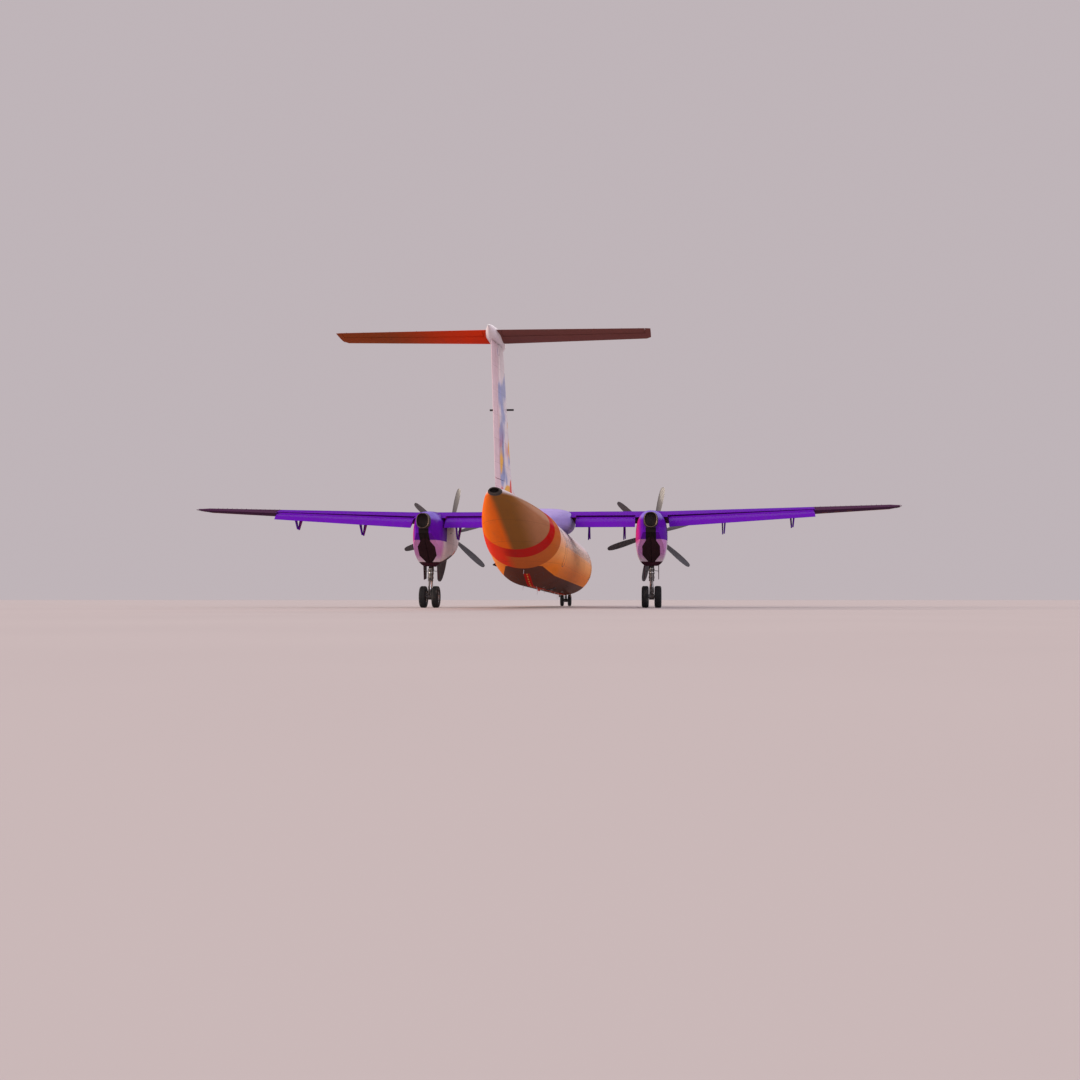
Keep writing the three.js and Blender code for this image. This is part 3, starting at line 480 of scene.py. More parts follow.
# Painted shade on the outer wings, dark on both faces
OUTER_WING_SHADE = (0.062, 0.018, 0.058)
BAY_GREY = (0.05, 0.048, 0.042)
ENTRY_GREY = (0.36, 0.34, 0.34)
SOOT = (0.012, 0.009, 0.009)
DULL = (0.02, 0.015, 0.02)
DIRT = (0.09, 0.06, 0.05)
JOINT_DARK = (0.03, 0.02, 0.025)

# Stations where the paint of the fuselage changes
BAND_START = 23.0
RED_START = 24.4
TAIL_START = 25.4
RUDDER_LINE = 30.0  # of the fin, less the sweep of its rudder


def body_colours(shader):
    """White roof, orange flanks of painted warm light, dark belly partly painted shade, a red band behind and
    a tan tail, with painted sunlight on their left sides and painted shade on their right.
    """
    station, across, height = shader.station, shader.across, shader.height
    belly = (height / (abs(across) + 0.02)).ramp(-1.0, -1.015) * height.ramp(-0.675, -0.69)
    belly = belly * station.ramp(BAND_START + 0.2, BAND_START)
    stripe = across.band(-0.16, 0.06, 0.012) * station.band(4.2, 22.3, 0.05) * belly
    dash = across.band(-0.075, -0.035, 0.006) * station.dashes(0.14, 0.055) * stripe
    # The left side, which gets painted sunlight on the red band
    lit = across.ramp(0.15, 0.6)
    # Tail cone: painted sunlight on the left, painted shade on the right and paler further right, white on
    # top
    tail = layered(
        across.ramp(0.28, 0.02).mix(TAIL_SUNLIT_ORANGE, TAIL_SHADE_TAN),
        (across.ramp(-0.3, -0.9), PALE_TAN),
        (height.ramp(1.12, 1.26), WHITE))
    inside = (across * across + height * height).ramp(1.70, 1.68) * station.band(3.9, 4.8, 0.01)
    return layered(
        WHITE,
        # Flanks: white paint under painted warm light, pale orange higher and deeper orange lower down
        (height.ramp(1.0, -0.2), FLANK_WARM_LIGHT),
        (height.ramp(-0.1, -0.75), LOW_FLANK_WARM_LIGHT),
        # Dark belly, partly paint and partly painted shade
        (belly, BELLY_PAINT_AND_SHADE),
        (stripe, RED),
        (dash, GOLD),
        # Red band with painted light: bright red on the sunlit left; on the shaded right orange-brown in
        # front, dark red behind
        (station.past(BAND_START, 0.05), lit.mix(BAND_SHADE_ORANGE, LIT_RED)),
        (station.past(RED_START, 0.02), lit.mix(RED, LIT_RED)),
        (station.past(TAIL_START, 0.05), tail),
        (inside, ENTRY_GREY))


def fin_colours(shader):
    """White, with soft patches ahead of the trailing rudder: pale blue, and yellow and pink lower down."""
    swept = shader.station - shader.height * 0.27
    ahead = swept.ramp(RUDDER_LINE + 0.2, RUDDER_LINE)
    base = swept.past(RUDDER_LINE, 0.1).mix(WHITE, ROSY_WHITE)
    for patch, low, high, clear, full, colour in (
            (shader.noise(0.8, 2.0), 0.5, 0.6, 9.0, 8.0, PALE_BLUE),
            (shader.noise(0.65, 1.0, (1, 1, 1.4), 0.4), 0.52, 0.6, 4.6, 2.6, YELLOW),
            (shader.noise(1.1, 1.0, (1, 1, 0.8), 0.2), 0.55, 0.62, 3.4, 1.7, PINK)):
        base = (patch.ramp(low, high) * shader.height.ramp(clear, full) * ahead).mix(base, colour)
    return base


def nacelle_colours(side):
    """Pale in front, purple at the rear with lavender painted shade below it and a painted sky reflection on
    top, rosy with painted sunlight on the left, dark with soot under the exhaust and dark with painted shade
    under the chin.
    """
    def paint(shader):
        station, height = shader.station, shader.height
        across = shader.across - side * NACELLE_Y
        rear = (station + height * 0.45).ramp(16.42, 16.45) * height.ramp(0.54, 0.56)
        # Left side of the nacelle, which gets painted sunlight
        left = across.ramp(0.33, 0.56) * station.ramp(15.4, 16.6) * height.ramp(0.3, 0.6)
        # Lower front of the nacelle, dark with painted shade
        chin = (height + station * 0.15).ramp(2.24, 2.22) * station.band(12.7, 17.0, 0.02)
        above = (station - SLOPE_STATION) * -sin(SLOPE_RISE) + (height - SLOPE_HEIGHT) * cos(SLOPE_RISE)
        bay = above.ramp(0.035, 0.04) * abs(across).ramp(0.365, 0.36)
        bay = bay * height.ramp(1.2, 1.15) * station.band(15.3, 17.5, 0.02)
        neck = abs(across).ramp(0.21, 0.19) * station.ramp(17.55, 17.6) * height.ramp(1.05, 0.95)
        return layered(
            WHITE,
            # Painted shade: the white rear of the nacelle shown lavender
            (station.ramp(16.5, 17.1), NACELLE_SHADE_LAVENDER),
            (rear, PURPLE),
            (height.ramp(1.4, 1.42) * station.ramp(14.3, 14.32), PURPLE),
            # Painted sky reflection on the top of the rear
            (height.ramp(1.3, 1.45) * station.ramp(16.6, 17.2), NACELLE_SKY_REFLECTION),
            # Painted sunlight on the left side
            (left, NACELLE_SUNLIT_MAGENTA),
            # Painted shade under the chin
            (chin, UNDERSIDE_SHADE),
            (bay, BAY_GREY),
            (neck, SOOT))
    return paint


def wing_colours(shader):
    """Purple above, dark below with painted shade, with a golden leading edge of painted sunlight behind a
    sooty boot, and the outer wing dark with painted shade.
    """
    _, normal_y, normal_z = shader.split(shader.node("ShaderNodeTexCoord").outputs["Normal"])
    span = abs(shader.across)
    # Faces that look down, which get painted shade
    below = normal_z.ramp(0.1, -0.1)
    outboard = (span - CENTRE_SPAN).math("MAXIMUM", 0.0)
    back = shader.station - (outboard * WING_SWEEP + WING_LEAD)
    marks = shader.across.band(-12.4, -7.6, 0.02) * back.band(0.70, 0.74, 0.006)
    marks = marks * shader.across.dashes(0.24, 0.135) * below
    return layered(
        # Purple above, painted shade below
        below.mix(PURPLE, UNDERSIDE_SHADE),
        # Outer wing dark with painted shade
        (span.ramp(10.78, 10.84), OUTER_WING_SHADE),
        (abs(normal_y).ramp(0.6, 0.65) * span.ramp(10.6, 10.5), PLATE_MAGENTA),
        # Painted sunlight along the leading edge
        (back.ramp(0.30, 0.285), GOLD),
        (marks, GOLD),
        (back.ramp(0.13, 0.12), SOOT))


def tailplane_colours(shader):
    """Dark with painted shade on the right, orange-brown with painted sunlight on the left and red at its
    root, with a golden leading edge of painted sunlight.
    """
    left = shader.across.past(0.0, 0.02)
    back = shader.station - (abs(shader.across) * TAILPLANE_SWEEP + TAILPLANE_LEAD)
    return layered(
        # Painted shade on the right half, painted sunlight on the left half
        left.mix(TAILPLANE_SHADE, TAILPLANE_SUNLIT),
        (left * shader.across.ramp(3.4, 0.5), ROOT_RED),
        # Painted sunlight along the leading edge
        (back.ramp(0.16, 0.15), GOLD))


def plain(colour):
    return lambda shader: colour


def painted(name, colour_of, roughness=0.36, grime=0.12, pitch=(1.2, 0.55), coat=0.08, specular=0.0):
    """Gloss paint over sheet metal: zones, dirt drawn aft by the air, sheet joints and orange peel."""
    shader = Shader(name, roughness, coat=coat, specular=specular)
    along, lengthwise = pitch
    joints = (shader.station + 0.31).lines(along).math("MAXIMUM", shader.height.lines(lengthwise))
    streak = shader.noise(2.2, 5.0, (0.25, 3.0, 3.0))
    shader.colour(layered(
        colour_of(shader),
        (shader.noise(0.9, 4.0) * 0.16, DULL),
        (streak.ramp(0.45, 0.8) * grime, DIRT),
        (joints * 0.45, JOINT_DARK)))
    fine = shader.noise(35.0, 2.0)
    shader.rough(fine * 0.12 + (roughness - 0.05))
    shader.bump(fine * 0.05 - joints, 0.35, 0.003)
    return shader.material


def metal(name, colour, roughness, brushed=(1, 1, 1), metallic=0.9):
    """Worn metal whose grain can be drawn out along an axis."""
    shader = Shader(name, roughness, metallic=metallic)
    grain = shader.noise(60.0, 4.0, brushed)
    shader.colour(shader.noise(6.0, 5.0).ramp(0.35, 0.7).mix(colour, tuple(0.45 * c for c in colour)))
    shader.rough(grain * 0.25 + (roughness - 0.08))
    shader.bump(grain, 0.15)
    return shader.material


def mottled(name, roughness, first, second, cloud, spread=None, grain=None, **finish):
    """Clouds of two tones, with a fine grain of some scale, detail and strength."""
    shader = Shader(name, roughness, **finish)
    mask = shader.noise(*cloud)
    shader.colour((mask.ramp(*spread) if spread else mask).mix(first, second))
    if grain:
        scale, detail, strength = grain
        shader.bump(shader.noise(scale, detail), strength)
    return shader.material


def lamp(name, colour):
    return mottled(name, 0.1, colour, tuple(0.6 * c for c in colour), (40.0, 2.0), coat=0.8)


NO_JOINTS = (9.0, 9.0)
MATERIALS = {
    "body": painted("body_paint", body_colours),
    "white": painted("white_paint", plain(WHITE), specular=0.1),
    "fin": painted("fin_paint", fin_colours, pitch=(0.9, 0.7)),
    "wing": painted("wing_paint", wing_colours, 0.5, pitch=(0.62, 9.0), coat=0.02),
    "spinner": painted("spinner_paint", plain(LAVENDER), 0.3, pitch=NO_JOINTS, coat=0.1, specular=0.3),
    "fairing": painted("fairing_paint", plain(FAIRING_PURPLE)),
    "tailplane": painted("tailplane_paint", tailplane_colours, 0.4, pitch=(0.7, 9.0), coat=0.02),
    "purple": painted("purple_paint", plain(PURPLE), 0.3, 0.15, pitch=NO_JOINTS),
    "nacelle_left": painted("nacelle_paint_left", nacelle_colours(1)),
    "nacelle_right": painted("nacelle_paint_right", nacelle_colours(-1)),
    # Near black: painted shade on the aft gear doors under the nacelles, and the side plate
    "dark": painted("dark_paint", plain((0.03, 0.014, 0.018)), 0.45, coat=0.02),
    "coral": painted("coral_paint", plain(CORAL), pitch=NO_JOINTS),
    "gear": metal("gear_metal", (0.13, 0.115, 0.11), 0.45, metallic=0.25),
    "engine": metal("engine_metal", (0.3, 0.29, 0.28), 0.45),
    "burnt": metal("burnt_metal", (0.24, 0.17, 0.13), 0.4),
    "trim": metal("trim_metal", (0.55, 0.54, 0.53), 0.35, (1, 8, 8)),
    "rim": metal("rim_metal", (0.42, 0.42, 0.43), 0.38),
    "chrome": metal("oleo_chrome", (0.75, 0.76, 0.78), 0.14, (8, 8, 1)),
    "rubber": mottled("tyre_rubber", 0.8, (0.012, 0.012, 0.014), (0.045, 0.04, 0.038), (5.0, 6.0),
                      (0.5, 0.75), (180.0, 3.0, 0.3), specular=0.3),
    "soot": mottled("sooty_metal", 0.75, (0.008, 0.006, 0.006), (0.05, 0.035, 0.03), (3.5, 6.0),
                    grain=(80.0, 3.0, 0.25), metallic=0.3),
    "blade": mottled("blade_composite", 0.42, (0.05, 0.046, 0.053), (0.08, 0.075, 0.082), (9.0, 5.0),
                     (0.5, 0.8), (120.0, 2.0, 0.04), coat=0.2),
    "glass": mottled("window_glass", 0.06, (0.012, 0.014, 0.02), (0.03, 0.03, 0.04), (1.5, 2.0),
                     coat=0.6, specular=0.6),
    "seal": mottled("seal_dark", 0.7, (0.02, 0.018, 0.02), (0.05, 0.045, 0.05), (30.0, 3.0), specular=0.3),
    "red_lamp": lamp("red_lamp", (0.75, 0.02, 0.015)),
    "green_lamp": lamp("green_lamp", (0.02, 0.5, 0.12)),
    "clear_lamp": lamp("clear_lamp", (0.75, 0.75, 0.78)),
}

# Fuselage

BODY = [  # station, half width, bottom, top
    (0.0, 0.06, -0.52, -0.40),
    (0.15, 0.30, -0.77, -0.19),
    (0.40, 0.49, -0.905, -0.005),
    (0.95, 0.76, -1.05, 0.225),
    (1.5, 0.96, -1.14, 0.405),
    (1.9, 1.07, -1.19, 0.52),
    (2.45, 1.19, -1.235, 0.96),
    (2.9, 1.26, -1.27, 1.19),
    (3.5, 1.32, -1.31, 1.30),
    (4.6, 1.345, -1.345, 1.345),
    (5.3, 1.345, -1.345, 1.345),
    (20.5, 1.345, -1.345, 1.345),
    (22.5, 1.345, -0.887, 1.345),
    (25.0, 1.18, -0.314, 1.345),
    (27.0, 0.95, 0.143, 1.345),
    (29.0, 0.65, 0.601, 1.345),
    (30.5, 0.39, 0.945, 1.34),
    (31.25, 0.22, 1.075, 1.33),
    (31.48, 0.17, 1.11, 1.32),
]
BODY_SIDES = 96
BODY_STEP = 0.12
RADOME_STEP = 0.04
TUBE_STEPS = 12
DOOR_FRONT, DOOR_REAR = 3.97, 4.73
DOOR_SILL, DOOR_HEAD = -0.74, 0.96
NOSE_BAY = (2.18, 3.5, -0.27, 0.27, -1.5, -0.56)  # front, rear, right, left, low, high
OUTLET_BORE = (0.14, 1.15, 1.29)  # half width, bottom, top


def body_shell(name, start, end):
    step = RADOME_STEP if end < RADOME_END else BODY_STEP
    is_tube = start >= NOSE_END and end <= CABIN_END
    steps = TUBE_STEPS if is_tube else max(2, ceil((end - start) / step))
    return hull(name, BODY, steps + 1, BODY_SIDES, ends=(start, end), smooth_angle=30.0)


def build_fuselage():
    nose = body_shell("nose_skin", RADOME_END, NOSE_END - SEAM)
    carve(nose, [box_between(*NOSE_BAY), box_between(DOOR_FRONT, DOOR_REAR, 0.15, 1.5, DOOR_SILL, DOOR_HEAD)])
    bore = [(station, *OUTLET_BORE) for station in (CONE_END + 0.06, OUTLET_END + 0.01)]
    outlet = carve(body_shell("tail_outlet_skin", CONE_END, OUTLET_END), [hull("bore", bore, 2, 48)])
    for obj, node, material in (
            (body_shell("radome_skin", 0.0, RADOME_END - SEAM), "radome", "body"),
            (nose, "nose_fuselage", "body"),
            (body_shell("cabin_skin", NOSE_END, CABIN_END - SEAM), "cabin_fuselage", "body"),
            (body_shell("rear_skin", CABIN_END, REAR_END - SEAM), "rear_fuselage", "body"),
            (body_shell("tail_cone_skin", REAR_END, CONE_END - SEAM), "tail_cone", "body"),
            (outlet, "tail_outlet", "soot")):
        give(obj, material)
        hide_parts(node)


# Wings

WING = [  # span, leading edge, height, chord, thickness
    (0.0, WING_LEAD, 1.55, 2.7, 0.175),
    (CENTRE_SPAN, WING_LEAD, 1.55, 2.7, 0.175),
    (13.85, 14.546, 1.936, 1.287, 0.13),
    (14.21, 14.93, 1.952, 0.866, 0.09),
]
WING_CAMBER = 0.03
INCIDENCE = tan(radians(1.5))
FLAP_NOSE = 0.675
FLAP_SHROUD = 0.87
HINGE_SHARE = 0.806
HINGE_DROP = 0.294
AILERON_CUT = 0.72
AILERON_SPAN = (10.85, 13.8)
FLAPS = ((1.43, 3.765, 1.9, 3.3), (5.045, 10.752, 7.2, 9.9))  # ends, then arms
ARM_WIDTH = 0.044
HINGE_GAP = 0.012
INNER_GAP, OUTER_GAP = 0.008, 0.05  # at the outer ends of the flaps
SHROUD_FRONT, SHROUD_REAR = 0.019, 0.006  # skin left above a flap, as shares of the chord
CENTRE_ENDS = (-CENTRE_SPAN, CENTRE_SPAN)


def skins(share, thickness, camber):
    """Upper and lower skin of a four-digit section, as shares of the chord."""
    half = 5 * thickness * (0.2969 * sqrt(share) - 0.126 * share - 0.3516 * share ** 2
                            + 0.2843 * share ** 3 - 0.1036 * share ** 4)
    peak = 0.4
    if share < peak:
        mean = camber / peak ** 2 * (2 * peak * share - share ** 2)
    else:
        mean = camber / (1 - peak) ** 2 * (1 - 2 * peak + 2 * peak * share - share ** 2)
    return mean + half, mean - half


def section(thickness, camber):
    """A section outline from its trailing edge over the top and back, finest at the nose."""
    count = 22
    shares = [(1 - cos(pi * (i + 0.35) / count)) / 2 for i in range(count)]
    shares = [share for share in shares if share < 0.97]
    over, under = [[(share, skins(share, thickness, camber)[face]) for share in shares] for face in (0, 1)]
    return [(1, 0.0015), *reversed(over), (0, 0), *under, (1, -0.0015)]


def cut_behind(share):
    """The outline of an opening from a share of the chord to beyond the trailing edge."""
    return [(share, -0.3), (share, 0.3), (1.1, 0.3), (1.1, -0.3)]


def on_wing(side, span, share, rise, grow=0.0):
    lead, height, chord, _ = row_at(WING, abs(span))
    aft = chord * share
    up = height - aft * INCIDENCE + chord * rise + grow * np.sign(rise)
    return (lead + aft + grow * (share - 0.5), side * span, up)


def wing_rings(side, spans, outline=None, grow=0.0):
    return [np.array([on_wing(side, span, share, rise, grow)
                      for share, rise in outline or section(row_at(WING, abs(span))[3], WING_CAMBER)])
            for span in spans]


def flap_cove(side, start, end):
    rings = []
    for span in (start, end):
        thickness = row_at(WING, span)[3]
        front = skins(FLAP_NOSE, thickness, WING_CAMBER)[0] - SHROUD_FRONT
        rear = skins(FLAP_SHROUD, thickness, WING_CAMBER)[0] - SHROUD_REAR
        outline = [(FLAP_NOSE, -0.3), (FLAP_NOSE, front), (FLAP_SHROUD, rear), (FLAP_SHROUD, 0.3),
                   (1.1, 0.3), (1.1, -0.3)]
        rings += wing_rings(side, [span], outline)
    return loft("cove", rings)


def flap_hanger(side, span):
    """The fixed bracket under the wing beside a flap arm."""
    lead, _, chord, _ = row_at(WING, span)
    foot, y, low = on_wing(side, span, HINGE_SHARE, -HINGE_DROP)
    high = low + 0.285 * chord
    outline = [(lead + 0.42 * chord, high), (foot - 0.13, low - 0.02), (foot - 0.06, low - 0.08),
               (foot + 0.03, low - 0.08), (foot + 0.03, low + 0.04), (lead + 0.66 * chord, high)]
    return slab(outline, y, ARM_WIDTH)


def build_wings():
    inner, outer = FLAPS
    centre = loft("wing_centre_skin", wing_rings(1, CENTRE_ENDS), 40.0)
    carve(centre, [flap_cove(side, inner[0] - HINGE_GAP, inner[1] + INNER_GAP) for _, side in SIDES])
    carve(centre, [flap_hanger(side, span) for _, side in SIDES for span in inner[2:]], "UNION", 40.0)
    give(centre, "wing")
    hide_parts("wing_center")
    for name, side in SIDES:
        spans = [CENTRE_SPAN + SEAM, 13.85, 14.0, 14.12, 14.21]
        skin = loft("wing_skin_" + name, wing_rings(side, spans), 40.0)
        gap_ends = [AILERON_SPAN[0] - HINGE_GAP, AILERON_SPAN[1] + HINGE_GAP]
        gap = loft("gap", wing_rings(side, gap_ends, cut_behind(AILERON_CUT)))
        carve(skin, [flap_cove(side, outer[0] - HINGE_GAP, outer[1] + OUTER_GAP), gap])
        carve(skin, [flap_hanger(side, span) for span in outer[2:]], "UNION", 40.0)
        give(skin, "wing")
        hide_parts("wing_" + name)


FAIRING = [  # station, half width, bottom, top
    (12.3, 0.42, 0.9, 1.37),
    (12.9, 0.86, 0.9, 1.59),
    (13.7, 1.15, 0.9, 1.81),
    (14.7, 1.27, 0.9, 1.905),
    (15.7, 1.29, 0.9, 1.9),
    (16.7, 1.22, 0.9, 1.79),
    (17.7, 0.95, 0.9, 1.59),
    (18.7, 0.42, 0.9, 1.37),
]


def build_fairing():
    saddle = hull("fairing_skin", FAIRING, 49, 72, 3.0)
    cabin = hull("cabin", BODY, 2, BODY_SIDES, ends=(NOSE_END, CABIN_END), grow=SEAM)
    carve(saddle, [cabin, loft("inner_wing", wing_rings(1, CENTRE_ENDS, grow=2 * SEAM))])
    give(saddle, "fairing")
    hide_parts("wing_fairing")


# Engines

NACELLE = [  # station, half width, bottom, top
    (11.62, 0.42, 0.66, 1.545),
    (11.8, 0.455, 0.4, 1.59),
    (12.2, 0.52, 0.21, 1.65),
    (13.0, 0.595, 0.04, 1.75),
    (13.9, 0.62, -0.12, 1.815),
    (14.9, 0.622, -0.27, 1.8),
    (15.7, 0.622, -0.4, 1.79),
    (16.4, 0.622, -0.47, 1.76),
    (17.2, 0.56, -0.33, 1.7),
    (18.06, 0.3, 0.3, 1.6),
]
NACELLE_START, NACELLE_END = NACELLE[0][0], NACELLE[-1][0]
NACELLE_ROUNDNESS = 2.5
THRUST_HEIGHT = 1.12
MOUTH_RADIUS = 0.33
INTAKE = [(11.5, 0.23, 0.5, 0.64), (11.85, 0.23, 0.5, 0.64)]
AFT_DOOR = [(0.33, 0.11), (0.78, 0.345), (1.33, 0.345), (1.84, 0.12)]  # along and across its slope
PIPE_END = 18.33
PIPE_ROUNDNESS = 2.4
PIPE = [  # station, half width, bottom, top
    (NACELLE_END + SEAM, 0.285, 0.95, 1.58),
    (PIPE_END, 0.24, 0.985, 1.555),
]
PIPE_WALL = 0.014


def slope_prism(y, outline, low, high):
    """A prism across the slope that the aft doors close, between two depths into the nacelle."""
    aft = np.array([cos(SLOPE_RISE), 0, sin(SLOPE_RISE)])
    inward = np.array([-sin(SLOPE_RISE), 0, cos(SLOPE_RISE)])
    return loft("prism", [np.array([(SLOPE_STATION, y + across, SLOPE_HEIGHT) + aft * along + inward * depth
                                    for along, across in outline]) for depth in (low, high)])


def door_hole(y, side):
    rows = [(along, side * across) for along, across in AFT_DOOR]
    return slope_prism(y, [(rows[0][0], 0.0), *rows, (rows[-1][0], 0.0)], -0.05, 0.42)


def engine_room(y):
    """The space for an engine with its corners cut off, and a gap round it."""
    gap, corner = 0.025, 0.28
    half, high = 0.3835 + gap, 0.55 + gap
    top = [(half, high - corner), (half - corner, high), (corner - half, high), (-half, high - corner)]
    ring = [(y + a, 1.0 + b) for a, b in top + [(-a, -b) for a, b in top]]
    return beam(ring, 11.8 - gap, 13.9 + gap)


def build_nacelle(name, side):
    y = side * NACELLE_Y
    skin = hull("nacelle_skin_" + name, NACELLE, 66, 96, NACELLE_ROUNDNESS, y)
    for tool in (slope_prism(y, [(0, -0.9), (2.7, -0.9), (2.7, 0.9), (0, 0.9)], -1.5, 0.0),
                 loft("centre", wing_rings(1, CENTRE_ENDS, grow=2 * SEAM)),
                 loft("outer", wing_rings(side, [CENTRE_SPAN - 0.001, CENTRE_SPAN + 0.4], grow=2 * SEAM)),
                 box_between(15.64, 16.42, y - 0.3, y + 0.3, -0.9, 0.42),
                 door_hole(y, 1), door_hole(y, -1),
                 rod(at(11.5, y, THRUST_HEIGHT), at(12.0, y, THRUST_HEIGHT), MOUTH_RADIUS, 48),
                 engine_room(y),
                 hull("intake", INTAKE, 2, 48, NACELLE_ROUNDNESS, y)):
        carve(skin, [tool])
    carve(skin, [rod(at(15.2, y, -0.15), at(15.2, y, -0.4), 0.06, 24)], "UNION")
    give(skin, "nacelle_" + name)
    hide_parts("nacelle_" + name)

    inside = [(s + 0.02, w - PIPE_WALL, b + PIPE_WALL, t - PIPE_WALL) for s, w, b, t in PIPE]
    shell = hull("exhaust_skin_" + name, PIPE, 2, 64, PIPE_ROUNDNESS, y)
    carve(shell, [hull("hollow", inside, 2, 64, PIPE_ROUNDNESS, y)])
    give(shell, "soot")
    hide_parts("exhaust_" + name)


# Tail

FIN = [  # height, leading edge, chord, thickness
    (1.15, 27.56, 3.56, 0.11),
    (1.95, 28.0, 3.31, 0.11),
    (5.6, 30.0, 2.3, 0.12),
]
DORSAL = [  # station, half width, bottom, top
    (23.7, 0.025, 1.2, 1.35),
    (25.9, 0.07, 1.2, 1.54),
    (27.3, 0.11, 1.2, 1.8),
    (28.3, 0.15, 1.2, 2.4),
    (28.9, 0.15, 1.2, 2.5),
]
RUDDER_CUT = 0.62
TAILPLANE = [  # span, leading edge, chord, thickness
    (0.0, TAILPLANE_LEAD, 1.9, 0.13),
    (4.515, 30.82, 1.4, 0.11),
    (4.635, 30.95, 1.23, 0.08),
]
TAIL_HEIGHT = 5.84
ELEVATOR_CUT = 0.66
ELEVATOR_SPAN = (0.29, 4.465)
BULLET = [  # station, half width, bottom, top
    (29.6, 0.03, 5.7, 5.78),
    (29.8, 0.105, 5.64, 5.86),
    (30.2, 0.18, 5.6, 5.94),
    (30.9, 0.225, 5.602, 6.0),
    (31.7, 0.225, 5.602, 6.0),
    (32.3, 0.16, 5.64, 5.98),
    (32.7, 0.08, 5.74, 5.93),
    (32.95, 0.018, 5.84, 5.88),
]
FIN_BAR = (29.6, 3.88)  # station, height


def fin_ring(height, outline=None, scale=1.0):
    lead, chord, thickness = row_at(FIN, height)
    outline = outline or section(thickness * scale, 0.0)
    return np.array([(lead + chord * share, chord * offset, height) for share, offset in outline])


def build_fin():
    skin = loft("fin_skin", [fin_ring(h) for h in (1.15, 1.95, 5.6)], 40.0)
    station, height = FIN_BAR
    bar = rod(at(station, -0.37, height), at(station, 0.37, height), 0.014, 20)
    carve(skin, [hull("ridge", DORSAL, 40, 36, 1.6), bar], "UNION", 35.0)
    opening = loft("opening", [fin_ring(h, cut_behind(RUDDER_CUT)) for h in (1.62, 6.0)])
    body = hull("body", BODY, 91, BODY_SIDES, ends=(CABIN_END, CONE_END), grow=2 * SEAM)
    carve(skin, [opening, body])
    give(skin, "fin")
    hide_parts("fin")


def tail_ring(span, outline=None, grow=0.0):
    lead, chord, thickness = row_at(TAILPLANE, abs(span))
    outline = outline or section(thickness, 0.0)
    return np.array([(lead + chord * share + grow * (share - 0.5), span,
                      TAIL_HEIGHT + chord * rise + grow * np.sign(rise)) for share, rise in outline])


def build_tailplane():
    spans = [-4.635, -4.58, -4.515, 0.0, 4.515, 4.58, 4.635]
    skin = loft("tailplane_skin", [tail_ring(span) for span in spans], 40.0)
    for _, side in SIDES:
        ends = (side * (ELEVATOR_SPAN[0] - HINGE_GAP), side * (ELEVATOR_SPAN[1] + HINGE_GAP))
        carve(skin, [loft("gap", [tail_ring(span, cut_behind(ELEVATOR_CUT)) for span in ends])])
    give(skin, "tailplane")
    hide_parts("tailplane")
    bullet = hull("bullet_skin", BULLET, 60, 56)
    top = loft("top", [fin_ring(h, scale=1.02) for h in (5.5, 5.6 + 2 * SEAM)])
    carve(bullet, [top, loft("through", [tail_ring(span, grow=2 * SEAM) for span in spans])])
    give(bullet, "white")
    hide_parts("bullet_fairing")


# Propellers

PROPELLER_STATION = 11.45
BLADES = 6
PHASE = 12.0
BLADE = [  # radius, chord, thickness, pitch
    (0.25, 0.17, 0.11, 66),
    (0.48, 0.205, 0.062, 56),
    (0.9, 0.29, 0.034, 46),
    (1.4, 0.31, 0.022, 38),
    (1.8, 0.265, 0.014, 33),
    (2.0, 0.175, 0.009, 31),
    (2.055, 0.08, 0.006, 30),
]
BLADE_RADII = [0.27, 0.34, 0.42, 0.52, 0.65, 0.8, 1.0, 1.2, 1.4, 1.6, 1.75, 1.88, 1.96, 2.01, 2.04, 2.055]
HUB = [(0, -0.27), (0.12, -0.27), (0.12, -0.13), (0.385, -0.13), (0.4, -0.115), (0.405, 0), (0.392, 0.1),
       (0.37, 0.178), (0, 0.178)]
SPINNER_FOOT = 0.1803
SPINNER_RADIUS = 0.368
SPINNER_LENGTH = 0.4297


def blade_ring(radius):
    """Distances forward and across of a blade's section, flatter below than above."""
    chord, thickness, pitch = smooth(BLADE, np.array([radius]))[0]
    turn = radians(pitch)
    count = 11
    shares = [(1 - cos(pi * (i + 0.3) / count)) / 2 for i in range(count)]
    half = [((share - 0.5) * chord, skins(share, 1.0, 0.0)[0] * thickness) for share in shares]
    outline = [(0.5 * chord, 0.0), *[(along, up * 1.15) for along, up in reversed(half)],
               (-0.5 * chord, 0.0), *[(along, -up * 0.65) for along, up in half]]
    return [(-along * sin(turn) + up * cos(turn), -along * cos(turn) - up * sin(turn))
            for along, up in outline]


